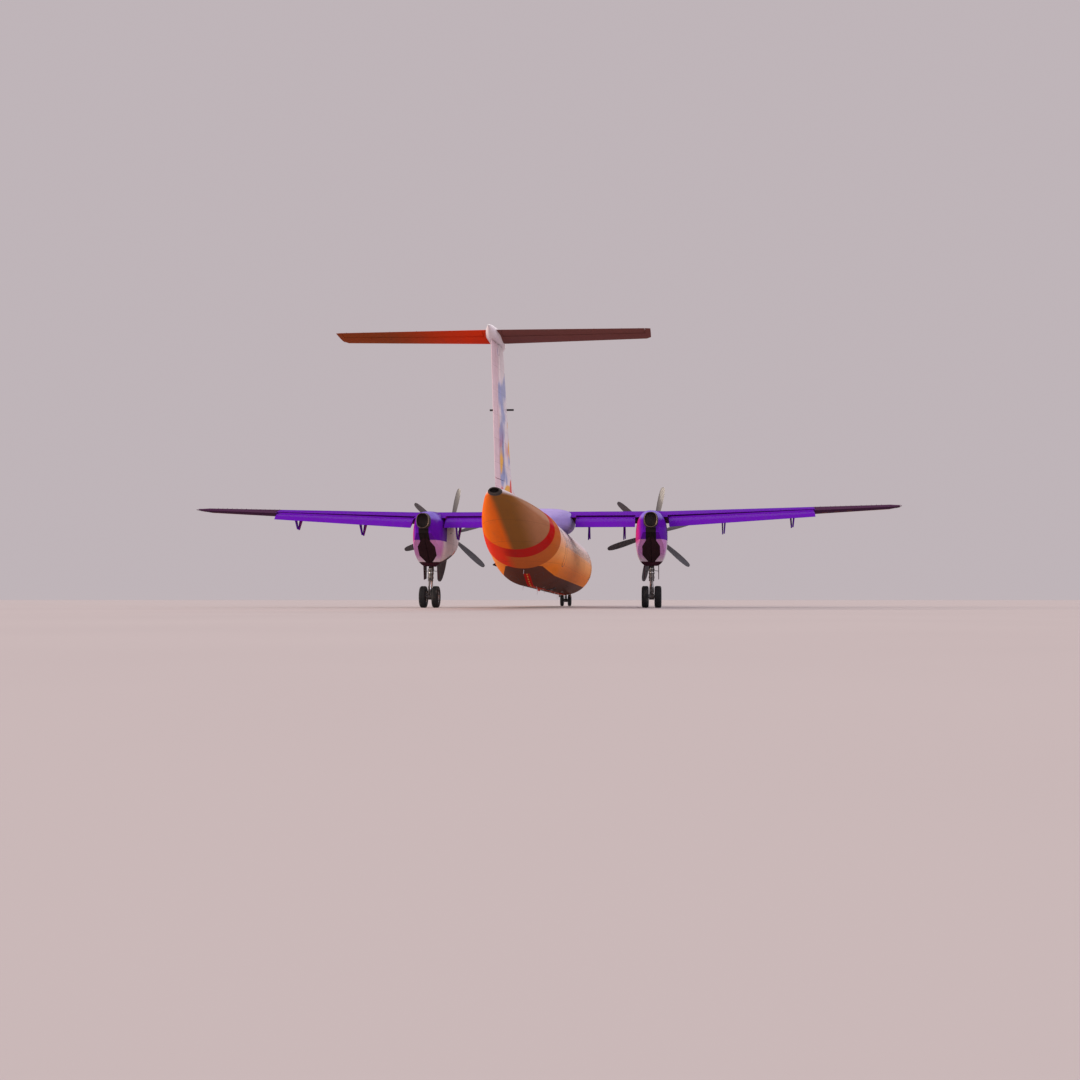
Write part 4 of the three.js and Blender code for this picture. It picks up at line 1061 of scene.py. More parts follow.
def build_propeller(name, side):
    """Six curved blades round a hub and a pointed spinner."""
    y = side * NACELLE_Y
    centre = at(PROPELLER_STATION, y, THRUST_HEIGHT)
    rings = [(radius, blade_ring(radius)) for radius in BLADE_RADII]
    blades = []
    for index in range(BLADES):
        angle = radians(PHASE + 360 / BLADES * index)
        blades.append(loft("blade", [np.array([
            (PROPELLER_STATION - forward, y + across * cos(angle) - radius * sin(angle),
             THRUST_HEIGHT + across * sin(angle) + radius * cos(angle)) for forward, across in ring])
            for radius, ring in rings], 50.0))
    hub = turned("hub", HUB, centre, FORWARD, 64, 30.0)
    propeller = joined("propeller_skin_" + name, [hub, *blades], 40.0)
    give(propeller, "blade", name + "_propeller")
    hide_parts("propeller_" + name)
    nose = [(0, SPINNER_FOOT), (SPINNER_RADIUS, SPINNER_FOOT)]
    nose += [(SPINNER_RADIUS * sqrt(max(0.0, 1 - t ** 1.75)), SPINNER_FOOT + SPINNER_LENGTH * t)
             for t in np.linspace(0, 1, 20)[1:]]
    spinner = turned("spinner_skin_" + name, nose, centre, FORWARD, 64, 40.0)
    give(spinner, "spinner", name + "_propeller")
    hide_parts("spinner_" + name)


# Sheets and small parts on the skins

FULL = (0.0, 1.0)
FINE_RIM = (0.93, 1.0)
TRACE = 0.0016  # lift of a seam
SHALLOW = 0.008


def skin_of(table, roundness=2.0, y=0.0, samples=3000):
    """The surface function of a body of cross sections; its angle runs from the left over the top."""
    stations = np.linspace(table[0][0], table[-1][0], samples)
    columns = smooth(table, stations).T

    def surface(station, angle, lift):
        half, bottom, top = [float(np.interp(station, stations, column)) for column in columns]
        across, up = superellipse(radians(angle), roundness)
        high = (top - bottom) / 2
        out = Vector([copysign(abs(share) ** (roundness - 1) / size, share)
                      for share, size in ((across, half), (up, high))]).normalized()
        return (station, y + half * across + out.x * lift, (top + bottom) / 2 + high * up + out.y * lift)
    return surface


def wing_skin(side, upper):
    """The surface function of one face of a wing, from its span and its share of the chord."""
    def surface(span, share, lift):
        rise = skins(share, row_at(WING, span)[3], WING_CAMBER)[0 if upper else 1]
        station, y, up = on_wing(side, span, share, rise)
        return (station, y, up + (lift if upper else -lift))
    return surface


on_body = skin_of(BODY)


def sheet(places, cells, rim, lift, depth, surface):
    """A thin sheet that reaches from above to below a skin: cells between places, and walls at its rim."""
    base = len(places)
    points = [surface(a, b, rise) for rise in (lift, -depth) for a, b in places]
    below = [tuple(base + i for i in (cell[0], *cell[:0:-1])) for cell in cells]
    walls = [(a, b, base + b, base + a) for a, b in rim]
    return mesh_object("sheet", to_row(np.array(points)), cells + below + walls, 40.0)


def patch(rows, lift, depth=0.01, surface=on_body):
    """A sheet over a grid of places."""
    m, n = len(rows), len(rows[0])
    rim = [*range(n), *range(2 * n - 1, m * n, n), *range(m * n - 2, (m - 1) * n - 1, -1),
           *range((m - 2) * n, 0, -n)]
    return sheet([place for row in rows for place in row], bands(m, n, closed=False),
                 zip(rim, rim[1:] + rim[:1]), lift, depth, surface)


def oval(centre, size, roundness, share, count):
    """A closed outline of evenly spaced [station, angle] pairs; its size is in metres and degrees."""
    a, b = superellipse(np.linspace(0, 2 * pi, 721), roundness)
    length = np.concatenate([[0], np.cumsum(np.hypot(np.diff(a), np.diff(b)))])
    even = np.linspace(0, length[-1], count + 1)[:-1]
    return list(zip(centre[0] + size[0] * share * np.interp(even, length, a),
                    centre[1] + size[1] * share * np.interp(even, length, b)))


def oval_sheet(centre, size, roundness, shares, lift, depth=0.01, surface=on_body, count=40):
    """A pane or a ring between two shares of an oval."""
    inner, outer = shares
    steps = 3 if inner > 0 else 5
    places = [place for share in np.linspace(inner, outer, steps + 1)
              for place in oval(centre, size, roundness, share, count)]
    pairs = [(j, (j + 1) % count) for j in range(count)]
    rim = [(steps * count + j, steps * count + k) for j, k in pairs]
    if inner > 0:
        rim += [(k, j) for j, k in pairs]
    return sheet(places, bands(steps + 1, count), rim, lift, depth, surface)


def strip(surface, start, end, low, high, lift, count):
    """A band between two stations and two angles."""
    rows = [[(start + (end - start) * i / 2, low + (high - low) * j / count) for j in range(count + 1)]
            for i in range(3)]
    return patch(rows, lift, SHALLOW, surface)


def grid(corners, count):
    """Places between four corners, which are given around the patch."""
    a, b, c, d = np.array(corners, float)
    steps = [i / count for i in range(count + 1)]
    return [[tuple((1 - v) * ((1 - u) * a + u * d) + v * ((1 - u) * b + u * c)) for v in steps]
            for u in steps]


def rectangle(front, rear, low, high):
    return [(front, low), (rear, low), (rear, high), (front, high)]


def dome(place, out, radius, height, name):
    """A rounded lamp that stands on a surface."""
    steps = [i / 7 * pi / 2 for i in range(7)]
    profile = [(0, -0.01), (radius, -0.01), *[(radius * cos(t), height * sin(t)) for t in steps], (0, height)]
    return turned(name, profile, place, out, 28, 50.0)


def fin_blade(station, angle, chord, height):
    """A small swept blade that stands on the fuselage: an antenna or a drain mast."""
    thickness, taper, sweep = 0.012, 0.4, 0.5
    foot = Vector(on_body(station, angle, -0.006))
    out = (Vector(on_body(station, angle, 1.0)) - Vector(on_body(station, angle, 0.0))).normalized()
    across = X.cross(out).normalized()
    rings = []
    for share, long, thick in ((0.0, 1.0, 1.0), (0.85, 1.0, 1.0), (1.0, 0.82, 0.6)):
        half = chord * (1 - taper * share) * long / 2
        middle = foot + out * (height * share) + X * (sweep * height * share)
        turns = [2 * pi * i / 16 for i in range(16)]
        rings.append(np.array([middle + X * (half * cos(t)) + across * (thickness / 2 * thick * sin(t))
                               for t in turns]))
    return loft("blade", rings, 50.0)


# Details of the fuselage

WINDOW_ANGLE = 14.0
WINDOW_SIZE = (0.13, 8.4)
WINDOW_STATIONS = [5.35 + 0.765 * i for i in range(20)]
SCREENS = [  # corners of the panes on the left: front, side and rear
    [(1.99, 87.0), (2.60, 87.5), (2.62, 60.0), (2.12, 47.0)],
    [(2.15, 44.0), (2.66, 57.0), (3.02, 52.0), (2.72, 26.0)],
    [(2.79, 26.5), (3.08, 51.0), (3.42, 48.0), (3.36, 27.5)],
]
SHUT_DOORS = [  # front, rear, low, high, on the left
    (20.2, 21.0, -0.72, 0.82, True),
    (20.2, 21.0, -0.62, 0.72, False),
    (4.1, 4.72, -0.62, 0.72, False),
    (22.0, 23.1, -0.15, 0.85, True),
    (2.95, 3.75, -0.85, -0.15, False),
]
HATCHES = [  # station, angle, half length
    (8.4, -58, 0.2), (10.6, -58, 0.17), (19.2, -60, 0.22), (6.3, 238, 0.2), (12.2, 240, 0.15),
    (18.6, 236, 0.24), (21.6, -70, 0.16), (2.4, 205, 0.14), (1.6, -25, 0.12), (21.9, 250, 0.18),
]
BLADE_ANTENNAS = [  # station, angle, chord, height
    (6.8, 90, 0.26, 0.30), (11.6, 90, 0.2, 0.22), (20.8, 90, 0.26, 0.30), (7.4, -90, 0.26, 0.26),
    (10.4, -94, 0.14, 0.10), (13.4, -86, 0.14, 0.10), (17.6, -90, 0.24, 0.24), (19.9, -98, 0.1, 0.16),
    (20.6, -80, 0.1, 0.16), (22.8, -90, 0.16, 0.14),
]
FLAT_ANTENNAS = [(8.9, 90), (9.7, 90), (18.9, 90), (5.9, -90), (12.1, -90), (15.6, -90)]
BELLY_VENTS = [(9.2, -104), (9.6, -104), (11.0, -78), (13.9, -101), (14.4, -101), (15.1, -80),
               (18.2, -103), (18.5, -79), (20.0, -88)]


def build_windows():
    places = [(station, angle) for station in WINDOW_STATIONS for angle in (WINDOW_ANGLE, 180 - WINDOW_ANGLE)]
    for name, shares, lift, material in (("cabin_panes", (0.0, 0.9), 0.0015, "glass"),
                                         ("cabin_window_frames", (0.9, 1.12), 0.004, "trim")):
        group(name, [oval_sheet(place, WINDOW_SIZE, 2.8, shares, lift) for place in places], material)


def build_windscreen():
    """Three panes on each side, in dark seals, and two wipers."""
    panes, seals, wipers = [], [], []
    for corners in SCREENS:
        corners = np.array(corners)
        middle = corners.mean(axis=0)
        wide = middle + (corners - middle) * 1.08
        for sheets, outline, lift in ((panes, corners, 0.0065), (seals, wide, 0.004)):
            for side in (outline, (0, 180) + outline * (1, -1)):
                sheets.append(patch(grid(side, 16), lift))
    group("windscreen_panes", panes, "glass")
    group("windscreen_seals", seals, "seal")
    for s in (1, -1):
        low = at(*on_body(1.98, 90 - 8 * s, 0.02))
        wipers.append(rod(low, at(*on_body(2.42, 90 - 22 * s, 0.02)), 0.006, 10))
        wipers.append(rod(low, at(*on_body(1.9, 90 - 8 * s, 0.0)), 0.012, 12))
    group("wipers", wipers, "seal")


def skin_angle(height):
    return degrees(asin(height / BODY_RADIUS))


def build_doors():
    """Seams of the doors, hatches and service panels that stay shut, and the frame of the open entry."""
    seams, handles = [], []
    for front, rear, low, high, left in SHUT_DOORS:
        station, half = (front + rear) / 2, (rear - front) / 2
        low, high = skin_angle(low), skin_angle(high)
        angle = (low + high) / 2 if left else 180 - (low + high) / 2
        rim = (1.0 - 0.014 / half, 1.0)
        seams.append(oval_sheet((station, angle), (half, (high - low) / 2), 7.0, rim, 0.004, count=160))
        handles.append(oval_sheet((station, angle + (3 if left else -3)), (0.09, 2.2), 5.0, FULL, 0.006))
    for station, angle, half in HATCHES:
        seams.append(oval_sheet((station, angle), (half, half * 42), 6.0, (0.94, 1.0), 0.0018, count=56))
    group("door_seams", seams, "seal")
    group("door_handles", handles, "trim")
    wide = 0.035
    low, high = skin_angle(DOOR_SILL - wide), skin_angle(DOOR_HEAD + wide)
    group("entry_frame", [patch(grid(rectangle(*edges), 12), 0.003) for edges in (
        (DOOR_FRONT - wide, DOOR_FRONT - 0.003, low, high),
        (DOOR_REAR + 0.003, DOOR_REAR + wide, low, high),
        (DOOR_FRONT, DOOR_REAR, high - 1.3, high))], "trim")


def build_antennas():
    group("antennas", [fin_blade(*row) for row in BLADE_ANTENNAS], "white")
    flat = [oval_sheet(place, (0.11, 3.4), 2.2, FULL, 0.02) for place in FLAT_ANTENNAS]
    group("flat_antennas", flat, "trim")
    give(dome(at(*on_body(16.9, -90, 0.0)), -Z, 0.07, 0.09, "belly_beacon"), "red_lamp")
    probes = []
    for angle in (-12, 192):
        for station in (1.35, 1.62):
            knee = on_body(station - 0.03, angle, 0.09)
            tip = at(knee[0] - 0.17, *knee[1:])
            probes.append(rod(at(*on_body(station, angle, -0.005)), at(*knee), 0.013, 12, 0.009))
            probes.append(rod(at(*knee), tip, 0.009, 12, 0.005))
    group("air_data_probes", probes, "trim")


def build_keel():
    """Small vents and louvres along the belly."""
    group("belly_vents", [oval_sheet(place, (0.07, 2.0), 4.0, FULL, 0.003) for place in BELLY_VENTS], "trim")
    louvres = [rectangle(start, start + 0.06, -112, -96) for start in [14.6 + 0.12 * i for i in range(7)]]
    group("belly_louvres", [patch(grid(corners, 5), 0.008) for corners in louvres], "seal")


# Landing gear

TYRE_WALL = [  # share of the way from bead to tread, share of the wall's height, share of the half width
    (0, 0, 0.8), (0.2, 0.25, 0.965), (0.4, 0.5, 1.0), (0.6, 0.72, 0.955), (0.78, 0.885, 0.83),
    (0.9, 0.968, 0.65), (1.0, 1.0, 0.5),
]
GROOVES = (-0.36, -0.12, 0.12, 0.36)
MAIN_WHEELS = {"radius": 0.43036, "rim": 0.226, "width": 0.273, "spacing": 0.5, "tube": 0.062, "bolts": 10}
LEG_TOP = (15.95, 0.25)  # station, height
STRUT_TOP = (15.7, 0.06)
LEG_COLLARS = ((0.652, 0.665, 0.105), (0.3, 0.32, 0.114), (0.12, 0.15, 0.114), (0.58, 0.61, 0.116))
LINK_ENDS, LINK_KNEE = (0.6, 0.97), 0.8  # shares of the way down the leg
CLAMPS = (0.2, 0.42, 0.5)
DISC_START, DISC_PITCH, DISC_THICKNESS, DISCS = 0.1165, 0.0068, 0.004, 4
DOOR_STAY = (16.0, 0.258, -0.62)
NOSE_LEG_STATION = 2.57
COLLAR_HEIGHTS = (-0.72, -0.9, -1.09)
JACK_HEIGHT = -1.0
JACK_RODS = [  # start, end, radius, sides
    ((2.47, 0.105), (2.75, 0.105), 0.028, 20),
    ((2.40, 0.105), (2.48, 0.105), 0.014, 16),
    ((2.6, 0.08), (2.6, 0.12), 0.02, 16),
]
JACK_HOSE = ((2.75, 0.1, -0.98), (2.84, 0.1, -0.86), (2.8, 0.06, -0.74))
LEG_HOSE = ((2.66, 0.03, -0.7), (2.668, 0.03, -0.9), (2.668, 0.03, -1.1))
TAXI_LIGHT = (2.47, 0, -0.86)
HOSE_BENDS = ((0.4, 0.1, 0.05), (0.62, 0.13, 0.05), (0.8, 0.16, 0.075), (0.93, 0.1, 0.085))
NOSE_WHEELS = {"radius": 0.27797, "rim": 0.142, "width": 0.165, "spacing": 0.37, "tube": 0.04, "bolts": 8}


def tyre(name, centre, radius, rim, width):
    """A tyre with round shoulders and four grooves round its tread."""
    half = width / 2
    wall = radius - rim
    side = [(rim + wall * rise, half * out) for rise, out in smooth(TYRE_WALL, np.linspace(0, 1, 15))]
    crown = [(radius - 0.04 * wall * deep, (middle + 0.032 * share) * half)
             for middle in GROOVES for share, deep in ((-1, 0), (-0.7, 1), (0.7, 1), (1, 0))]
    profile = [(r, -y) for r, y in side] + crown + side[::-1]
    return turned(name, profile, centre, Y, 112, 28.0)


def wheel_set(label, node, tyre_label, centre, body, radius, rim, width, spacing, tube, bolts):
    """Two rims on one tube, with bolts, vent holes and hub caps, and their tyres."""
    inner = spacing / 2 - 0.38 * width
    outer = spacing / 2 + 0.38 * width
    edge = rim - 0.0015
    half = [(tube, inner), (edge, inner), (edge, outer - 0.01), (edge - 0.006, outer), (0.9 * rim, outer),
            (0.86 * rim, outer - 0.012), (0.84 * rim, outer - 0.38 * rim), (0.8 * rim, outer - 0.4 * rim),
            (0.45 * rim, outer - 0.35 * rim), (0.42 * rim, outer - 0.33 * rim), (0.4 * rim, outer - 0.02),
            (0.38 * rim, outer - 0.008), (0.3 * rim, outer), (0.28 * rim, outer)]
    profile = [(0, -outer - 0.004), *[(r, -y) for r, y in reversed(half)], *half, (0, outer + 0.004)]
    rims = turned(label + "_rims", profile, centre, Y, 72, 30.0)
    give(rims, "rim", body)
    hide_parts(node)

    def dots(phase, share, depth, length, size, sides):
        """A ring of short rods on the outer face of each rim."""
        rods = []
        for sign in (1, -1):
            for i in range(bolts):
                turn = 2 * pi * (i + phase) / bolts
                place = centre + Vector((cos(turn), 0, sin(turn))) * (share * rim)
                place += Y * (sign * (outer - depth * rim))
                rods.append(rod(place, place + Y * (sign * length), size * rim, sides))
        return rods

    group(label + "_bolts", dots(0, 0.52, 0.37, 0.018, 0.034, 6), "trim", body)
    group(label + "_vents", dots(0.5, 0.68, 0.39, 0.006, 0.085, 20), "seal", body)
    for tyre_side, sign in SIDES:
        piece = tyre(tyre_label + tyre_side + "_tread", centre + Y * (sign * spacing / 2), radius, rim, width)
        give(piece, "rubber", body)
        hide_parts(tyre_label + tyre_side)


def crosswise(point, half, radius, sides):
    return rod(point - Y * half, point + Y * half, radius, sides)


def build_main_gear(name, side):
    y = side * NACELLE_Y
    low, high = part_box("main_wheels_" + name)
    axle = (low + high) / 2
    top = at(LEG_TOP[0], y, LEG_TOP[1])

    def along(share, x=0.0, across=0.0):
        """A point on the leg, or beside it."""
        return top.lerp(axle, share) + Vector((x, across, 0))

    def aft(share, station, height=0.0, across=0.0):
        """A point behind the leg, by the aircraft's own axes."""
        return along(share, 0.0, across) + at(station, 0, height) - at(0, 0, 0)

    upper, lower = LINK_ENDS
    hub = crosswise(axle, 0.095, 0.112, 40)
    piston = rod(along(0.6), axle, 0.07, 40)
    for part in (hub, piston):
        carve(part, [crosswise(axle, 0.2, 0.067, 40)])
    leg = joined("main_leg_skin_" + name, [
        hub,
        piston,
        rod(top, along(0.655), 0.102, 40),
        crosswise(top, 0.299, 0.07, 32),
        rod(along(0.5), at(STRUT_TOP[0], y, STRUT_TOP[1]), 0.045, 24),
        rod(aft(upper, 0.11), aft(LINK_KNEE, 0.26), 0.026, 16),
        rod(aft(LINK_KNEE, 0.265, 0.01), aft(lower, 0.09), 0.026, 16),
        rod(along(upper), aft(upper, 0.12), 0.034, 20),
        *[rod(along(start), along(end), radius, 40) for start, end, radius in LEG_COLLARS],
    ])
    give(leg, "gear")
    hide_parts("main_leg_" + name)
    give(rod(along(0.67), along(0.9), 0.0725, 40), "chrome")
    discs = []
    for s in (-1, 1):
        for i in range(DISCS):
            start = axle + Y * (s * (DISC_START + DISC_PITCH * i))
            discs.append(rod(start, start + Y * (s * DISC_THICKNESS), 0.168 - 0.006 * (i % 2), 48))
    group("brake_discs_" + name, discs, "engine")
    links = [crosswise(aft(LINK_KNEE, 0.262, 0.005), 0.045, 0.02, 16)]
    for s in (-0.05, 0.05):
        links.append(rod(aft(upper, 0.1, 0.0, s), aft(LINK_KNEE, 0.26, 0.0, 0.4 * s), 0.016, 12))
        links.append(rod(aft(lower, 0.09, 0.0, s), aft(LINK_KNEE, 0.26, 0.01, 0.4 * s), 0.016, 12))
    group("torque_links_" + name, links, "trim")
    pipes = [hose([along(0.05, -0.11, 0.03), along(0.35, -0.112, 0.03), along(0.57, -0.112, 0.02)], 0.008)]
    for s, start in ((-1, 0.1), (1, 0.2)):
        path = [along(share, x, s * across) for share, x, across in ((start, 0.1, 0.05), *HOSE_BENDS)]
        pipes.append(hose([*path, axle + Vector((0.06, s * 0.1, 0.09))], 0.011))
    group("brake_hoses_" + name, pipes, "seal")
    clamps = [rod(along(share), along(share + 0.012), 0.119, 32) for share in CLAMPS]
    group("hose_clamps_" + name, clamps, "trim")
    stays = []
    station, reach, height = DOOR_STAY
    for s in (-1, 1):
        door = at(station, y + s * reach, height)
        stays.append(rod(along(0.45, 0.0, s * 0.08), door, 0.011, 12))
        stays.append(rod(door, door + Y * (s * 0.006), 0.035, 20))
    group("door_stays_" + name, stays, "trim")
    wheel_set("main_" + name, "main_wheels_" + name, "main_tyre_" + name + "_", axle, name + "_main_wheels",
              **MAIN_WHEELS)


def build_nose_gear():
    low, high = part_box("nose_wheels")
    axle = (low + high) / 2
    collars = [rod(at(NOSE_LEG_STATION, 0, height), at(NOSE_LEG_STATION, 0, height - 0.03), 0.092, 36)
               for height in COLLAR_HEIGHTS]
    group("nose_collars", collars, "trim")
    jacks, pipes = [], [hose([at(*bend) for bend in LEG_HOSE], 0.008)]
    for s in (-1, 1):
        for *ends, radius, sides in JACK_RODS:
            start, end = [at(station, s * y, JACK_HEIGHT) for station, y in ends]
            jacks.append(rod(start, end, radius, sides))
        pipes.append(hose([at(station, s * y, height) for station, y, height in JACK_HOSE], 0.008))
    group("steering_jacks", jacks, "trim")
    group("nose_hoses", pipes, "seal")
    lamp_back = at(*TAXI_LIGHT)
    lamp_front = lamp_back + X * 0.05
    give(rod(lamp_back, lamp_front, 0.085, 32, 0.1), "trim")
    give(dome(lamp_front, X, 0.088, 0.02, "taxi_light"), "clear_lamp")
    sleeve_end = at(NOSE_LEG_STATION, 0, -1.13)
    give(rod(sleeve_end - Z * 0.008, axle + Z * 0.075, 0.0592, 40), "chrome", "steered_fork")
    links = [rod(axle + Vector((-0.07, s * 0.03, 0.06)), axle + Vector((-0.16, s * 0.014, 0.16)), 0.012, 12)
             for s in (-1, 1)]
    group("nose_links", links, "trim", "steered_fork")
    wheel_set("nose", "nose_wheels", "nose_tyre_", axle, "front_wheels", **NOSE_WHEELS)


# Details of wings, tail and engines

WING_PANELS = [  # span, share, half length and half width of a hatch under the wing
    *[(5.6 + 0.85 * i, 0.38, 0.19, 0.055) for i in range(9)],
    (2.2, 0.40, 0.2, 0.05), (3.1, 0.40, 0.2, 0.05),
]
GENERATORS = [10.9 + 0.2 * i for i in range(14)]  # spans
GENERATOR_TURN = radians(18)
WING_WICKS = (11.4, 12.3, 13.2, 13.65)
TAIL_WICKS = (2.2, 3.0, 3.8, 4.3)
WICK_SHARE = 0.995
LANDING_LIGHTS = (3.0, 3.22)
BRACKET_SPANS = (0.9, 2.3, 3.7)
COWL_RINGS = (12.35, 13.3, 14.35)  # stations
COWL_EDGES = (8, 172, -40, 220)  # angles
COWL_LATCHES = [12.05 + 0.5 * i for i in range(6)]
COWL_LOUVRES = [14.55 + 0.09 * i for i in range(6)]
VANES = (-0.14, 0.0, 0.14)
PIPE_LIP = ((-0.012, 0.0), (0.002, 0.004), (0.008, -0.003), (0.002, -0.016), (-0.012, -0.018))  # aft, out
PORT_SIZE = (0.085, 6.5)
PORTS = [(12.75, 176), (12.75, 4)]
RAIL_BENDS = ((-0.56, 0.0), (-0.5, 0.16), (-0.1, 0.2), (0.3, 0.2), (0.6, 0.15), (0.68, 0.0))  # height, inset
DOOR_INSIDE = 1.283  # radius
TREAD_TURN = radians(122)


def thin_fin(start, end, height):
    """A vortex generator: a thin plate whose top is shorter than its foot."""
    across = (end - start).cross(Z).normalized() * 0.0015
    front = start * 0.6 + end * 0.4 + Z * height
    rear = end + Z * (0.9 * height)
    corners = [start - across, start + across, end + across, end - across,
               front - across, front + across, rear + across, rear - across]
    return mesh_object("fin", corners, bands(2, 4) + caps(2, 4))


def wicks(edges, length, drop=0.0):
    return [rod(edge, edge + Vector((-length, 0, -drop)), 0.004, 8, 0.002) for edge in edges]


def build_wing_details():
    panels = []
    for name, side in SIDES:
        under, over = wing_skin(side, False), wing_skin(side, True)
        for span, share, *size in WING_PANELS:
            panels.append(oval_sheet((span, share), size, 2.4, FINE_RIM, TRACE, SHALLOW, under))
        for place in ((6.2, 0.3), (9.4, 0.3), (11.9, 0.35)):
            panels.append(oval_sheet(place, (0.11, 0.05), 2.0, (0.9, 1.0), TRACE, SHALLOW, over))
        lids = [oval_sheet(place, (0.06, 0.03), 2.0, FULL, 0.004, SHALLOW, over)
                for place in ((6.9, 0.3), (10.6, 0.3))]
        group("filler_caps_" + name, lids, "trim")
        along = Vector((-cos(GENERATOR_TURN), side * sin(GENERATOR_TURN), 0)) * 0.028
        feet = [at(*over(span, 0.45, -0.002)) for span in GENERATORS]
        fins = [thin_fin(foot - along, foot + along, 0.03) for foot in feet]
        group("vortex_generators_" + name, fins, "trim")
        tip, rear_tip = at(*on_wing(side, 14.12, 0.10, 0.012)), at(*on_wing(side, 14.15, 0.9, 0.0))
        give(dome(tip, (0.75, side * 0.65, 0), 0.045, 0.07, "wing_tip_light_" + name),
             "red_lamp" if side > 0 else "green_lamp")
        give(dome(rear_tip, (-0.6, side * 0.8, 0), 0.03, 0.045, "strobe_" + name), "clear_lamp")
        edges = [at(*on_wing(side, span, WICK_SHARE, 0.0)) for span in WING_WICKS]
        group("wing_wicks_" + name, wicks(edges, 0.11, 0.004), "seal", name + "_aileron")
        edges = []
        for span in TAIL_WICKS:
            lead, chord, _ = row_at(TAILPLANE, span)
            edges.append(at(lead + chord * WICK_SHARE, side * span, TAIL_HEIGHT))
        group("tail_wicks_" + name, wicks(edges, 0.1), "seal", name + "_elevator")
        lenses = [patch([[(span + 0.17 * i / 6, 0.004 + 0.05 * j / 8) for j in range(9)] for i in range(7)],
                        0.004, 0.006, under) for span in LANDING_LIGHTS]
        group("landing_lights_" + name, lenses, "clear_lamp")
    group("wing_panels", panels, "seal")


def build_tail_details():
    give(dome(at(32.92, 0, 5.86), -X, 0.03, 0.05, "tail_light"), "clear_lamp")
    give(dome(at(30.9, 0, 5.965), Z, 0.055, 0.06, "fin_beacon"), "red_lamp")
    brackets = []
    for _, side in SIDES:
        for span in BRACKET_SPANS:
            lead, chord, thickness = row_at(TAILPLANE, span)
            foot = lead + ELEVATOR_CUT * chord
            low = TAIL_HEIGHT + skins(ELEVATOR_CUT, thickness, 0)[1] * chord
            outline = [(foot - 0.2, low + 0.006), (foot - 0.03, low - 0.022), (foot - 0.012, low + 0.006)]
            brackets.append(slab(outline, side * span, 0.022))
    group("elevator_brackets", brackets, "tailplane")
    station, height = FIN_BAR
    group("fin_rod_caps", [rod(at(station, sign * 0.1, height), at(station, sign * 0.372, height), 0.03, 20)
                           for sign in (1, -1)], "seal")


def build_nacelle_details(name, side):
    skin = skin_of(NACELLE, NACELLE_ROUNDNESS, side * NACELLE_Y, 800)
    y = side * NACELLE_Y
    seams = [strip(skin, s, s + 0.007, -62, 242, 0.0018, 90) for s in COWL_RINGS]
    seams += [strip(skin, 11.9, 15.3, angle, angle + 0.7, 0.0018, 2) for angle in COWL_EDGES]
    group("cowl_seams_" + name, seams, "seal")
    latches = [strip(skin, s, s + 0.06, angle - 1.3, angle + 1.9, 0.005, 3)
               for angle in COWL_EDGES for s in COWL_LATCHES]
    group("cowl_latches_" + name, latches, "trim")
    for label, shares, lift, material in (("side_ports_", FULL, 0.004, "soot"),
                                          ("port_rims_", (1.0, 1.25), 0.006, "trim")):
        rings = [oval_sheet(place, PORT_SIZE, 2.0, shares, lift, surface=skin) for place in PORTS]
        group(label + name, rings, material)
    diamonds = [patch([[(13.2 + 0.05 * (i + j), middle + 13 * (i - j) / 6) for j in range(7)]
                       for i in range(7)], TRACE, SHALLOW, skin) for middle in (222, -42)]
    group("chin_marks_" + name, diamonds, "coral")
    louvres = [strip(skin, s, s + 0.04, middle - 5, middle + 5, 0.007, 5)
               for s in COWL_LOUVRES for middle in (28, 152)]
    group("cowl_louvres_" + name, louvres, "seal")

    lip = [(MOUTH_RADIUS + 0.018 * cos(t), 0.014 * sin(t)) for t in np.linspace(0, 2 * pi, 17)[:-1]]
    mouth = at(NACELLE_START + 0.002, y, THRUST_HEIGHT)
    give(turned("mouth_lip_" + name, lip, mouth, FORWARD, 72, 60.0), "trim")
    count = 56
    across, up = superellipse(2 * pi * (np.arange(count) + 0.5) / count, PIPE_ROUNDNESS)
    rings = []
    _, half, bottom, top = PIPE[-1]
    middle, high = (top + bottom) / 2, (top - bottom) / 2
    for aft, out in PIPE_LIP:
        rings.append(np.stack([np.full(count, PIPE_END + aft), y + (half + out) * across,
                               middle + (high + out) * up], axis=-1))
    points = to_row(np.concatenate(rings))
    give(mesh_object("exhaust_edge_" + name, points, bands(len(PIPE_LIP), count, wrap=True), 60.0),
         "burnt")
    vane = rectangle(11.66, 11.84, 0.515, 0.625)
    group("intake_vanes_" + name, [slab(vane, y + across, 0.008) for across in VANES], "trim")


def build_airstair_details():
    """Treads and rails on the inside of the entry door."""
    inward = np.array([cos(TREAD_TURN), sin(TREAD_TURN)]) * 0.2
    thick = np.array([sin(TREAD_TURN), -cos(TREAD_TURN)]) * 0.012
    treads = []
    for height in (-0.52, -0.24, 0.04, 0.32, 0.58):
        foot = np.array([sqrt(DOOR_INSIDE ** 2 - height ** 2) - 0.004, height])
        treads.append(beam([foot, foot + inward, foot + inward - thick, foot - thick], 4.1, 4.6))
    group("airstair_treads", treads, "trim", "airstair")
    rails = [hose([at(station, sqrt(DOOR_INSIDE ** 2 - h ** 2) - inset, h) for h, inset in RAIL_BENDS], 0.01)
             for station in (4.07, 4.63)]
    group("airstair_rails", rails, "chrome", "airstair")


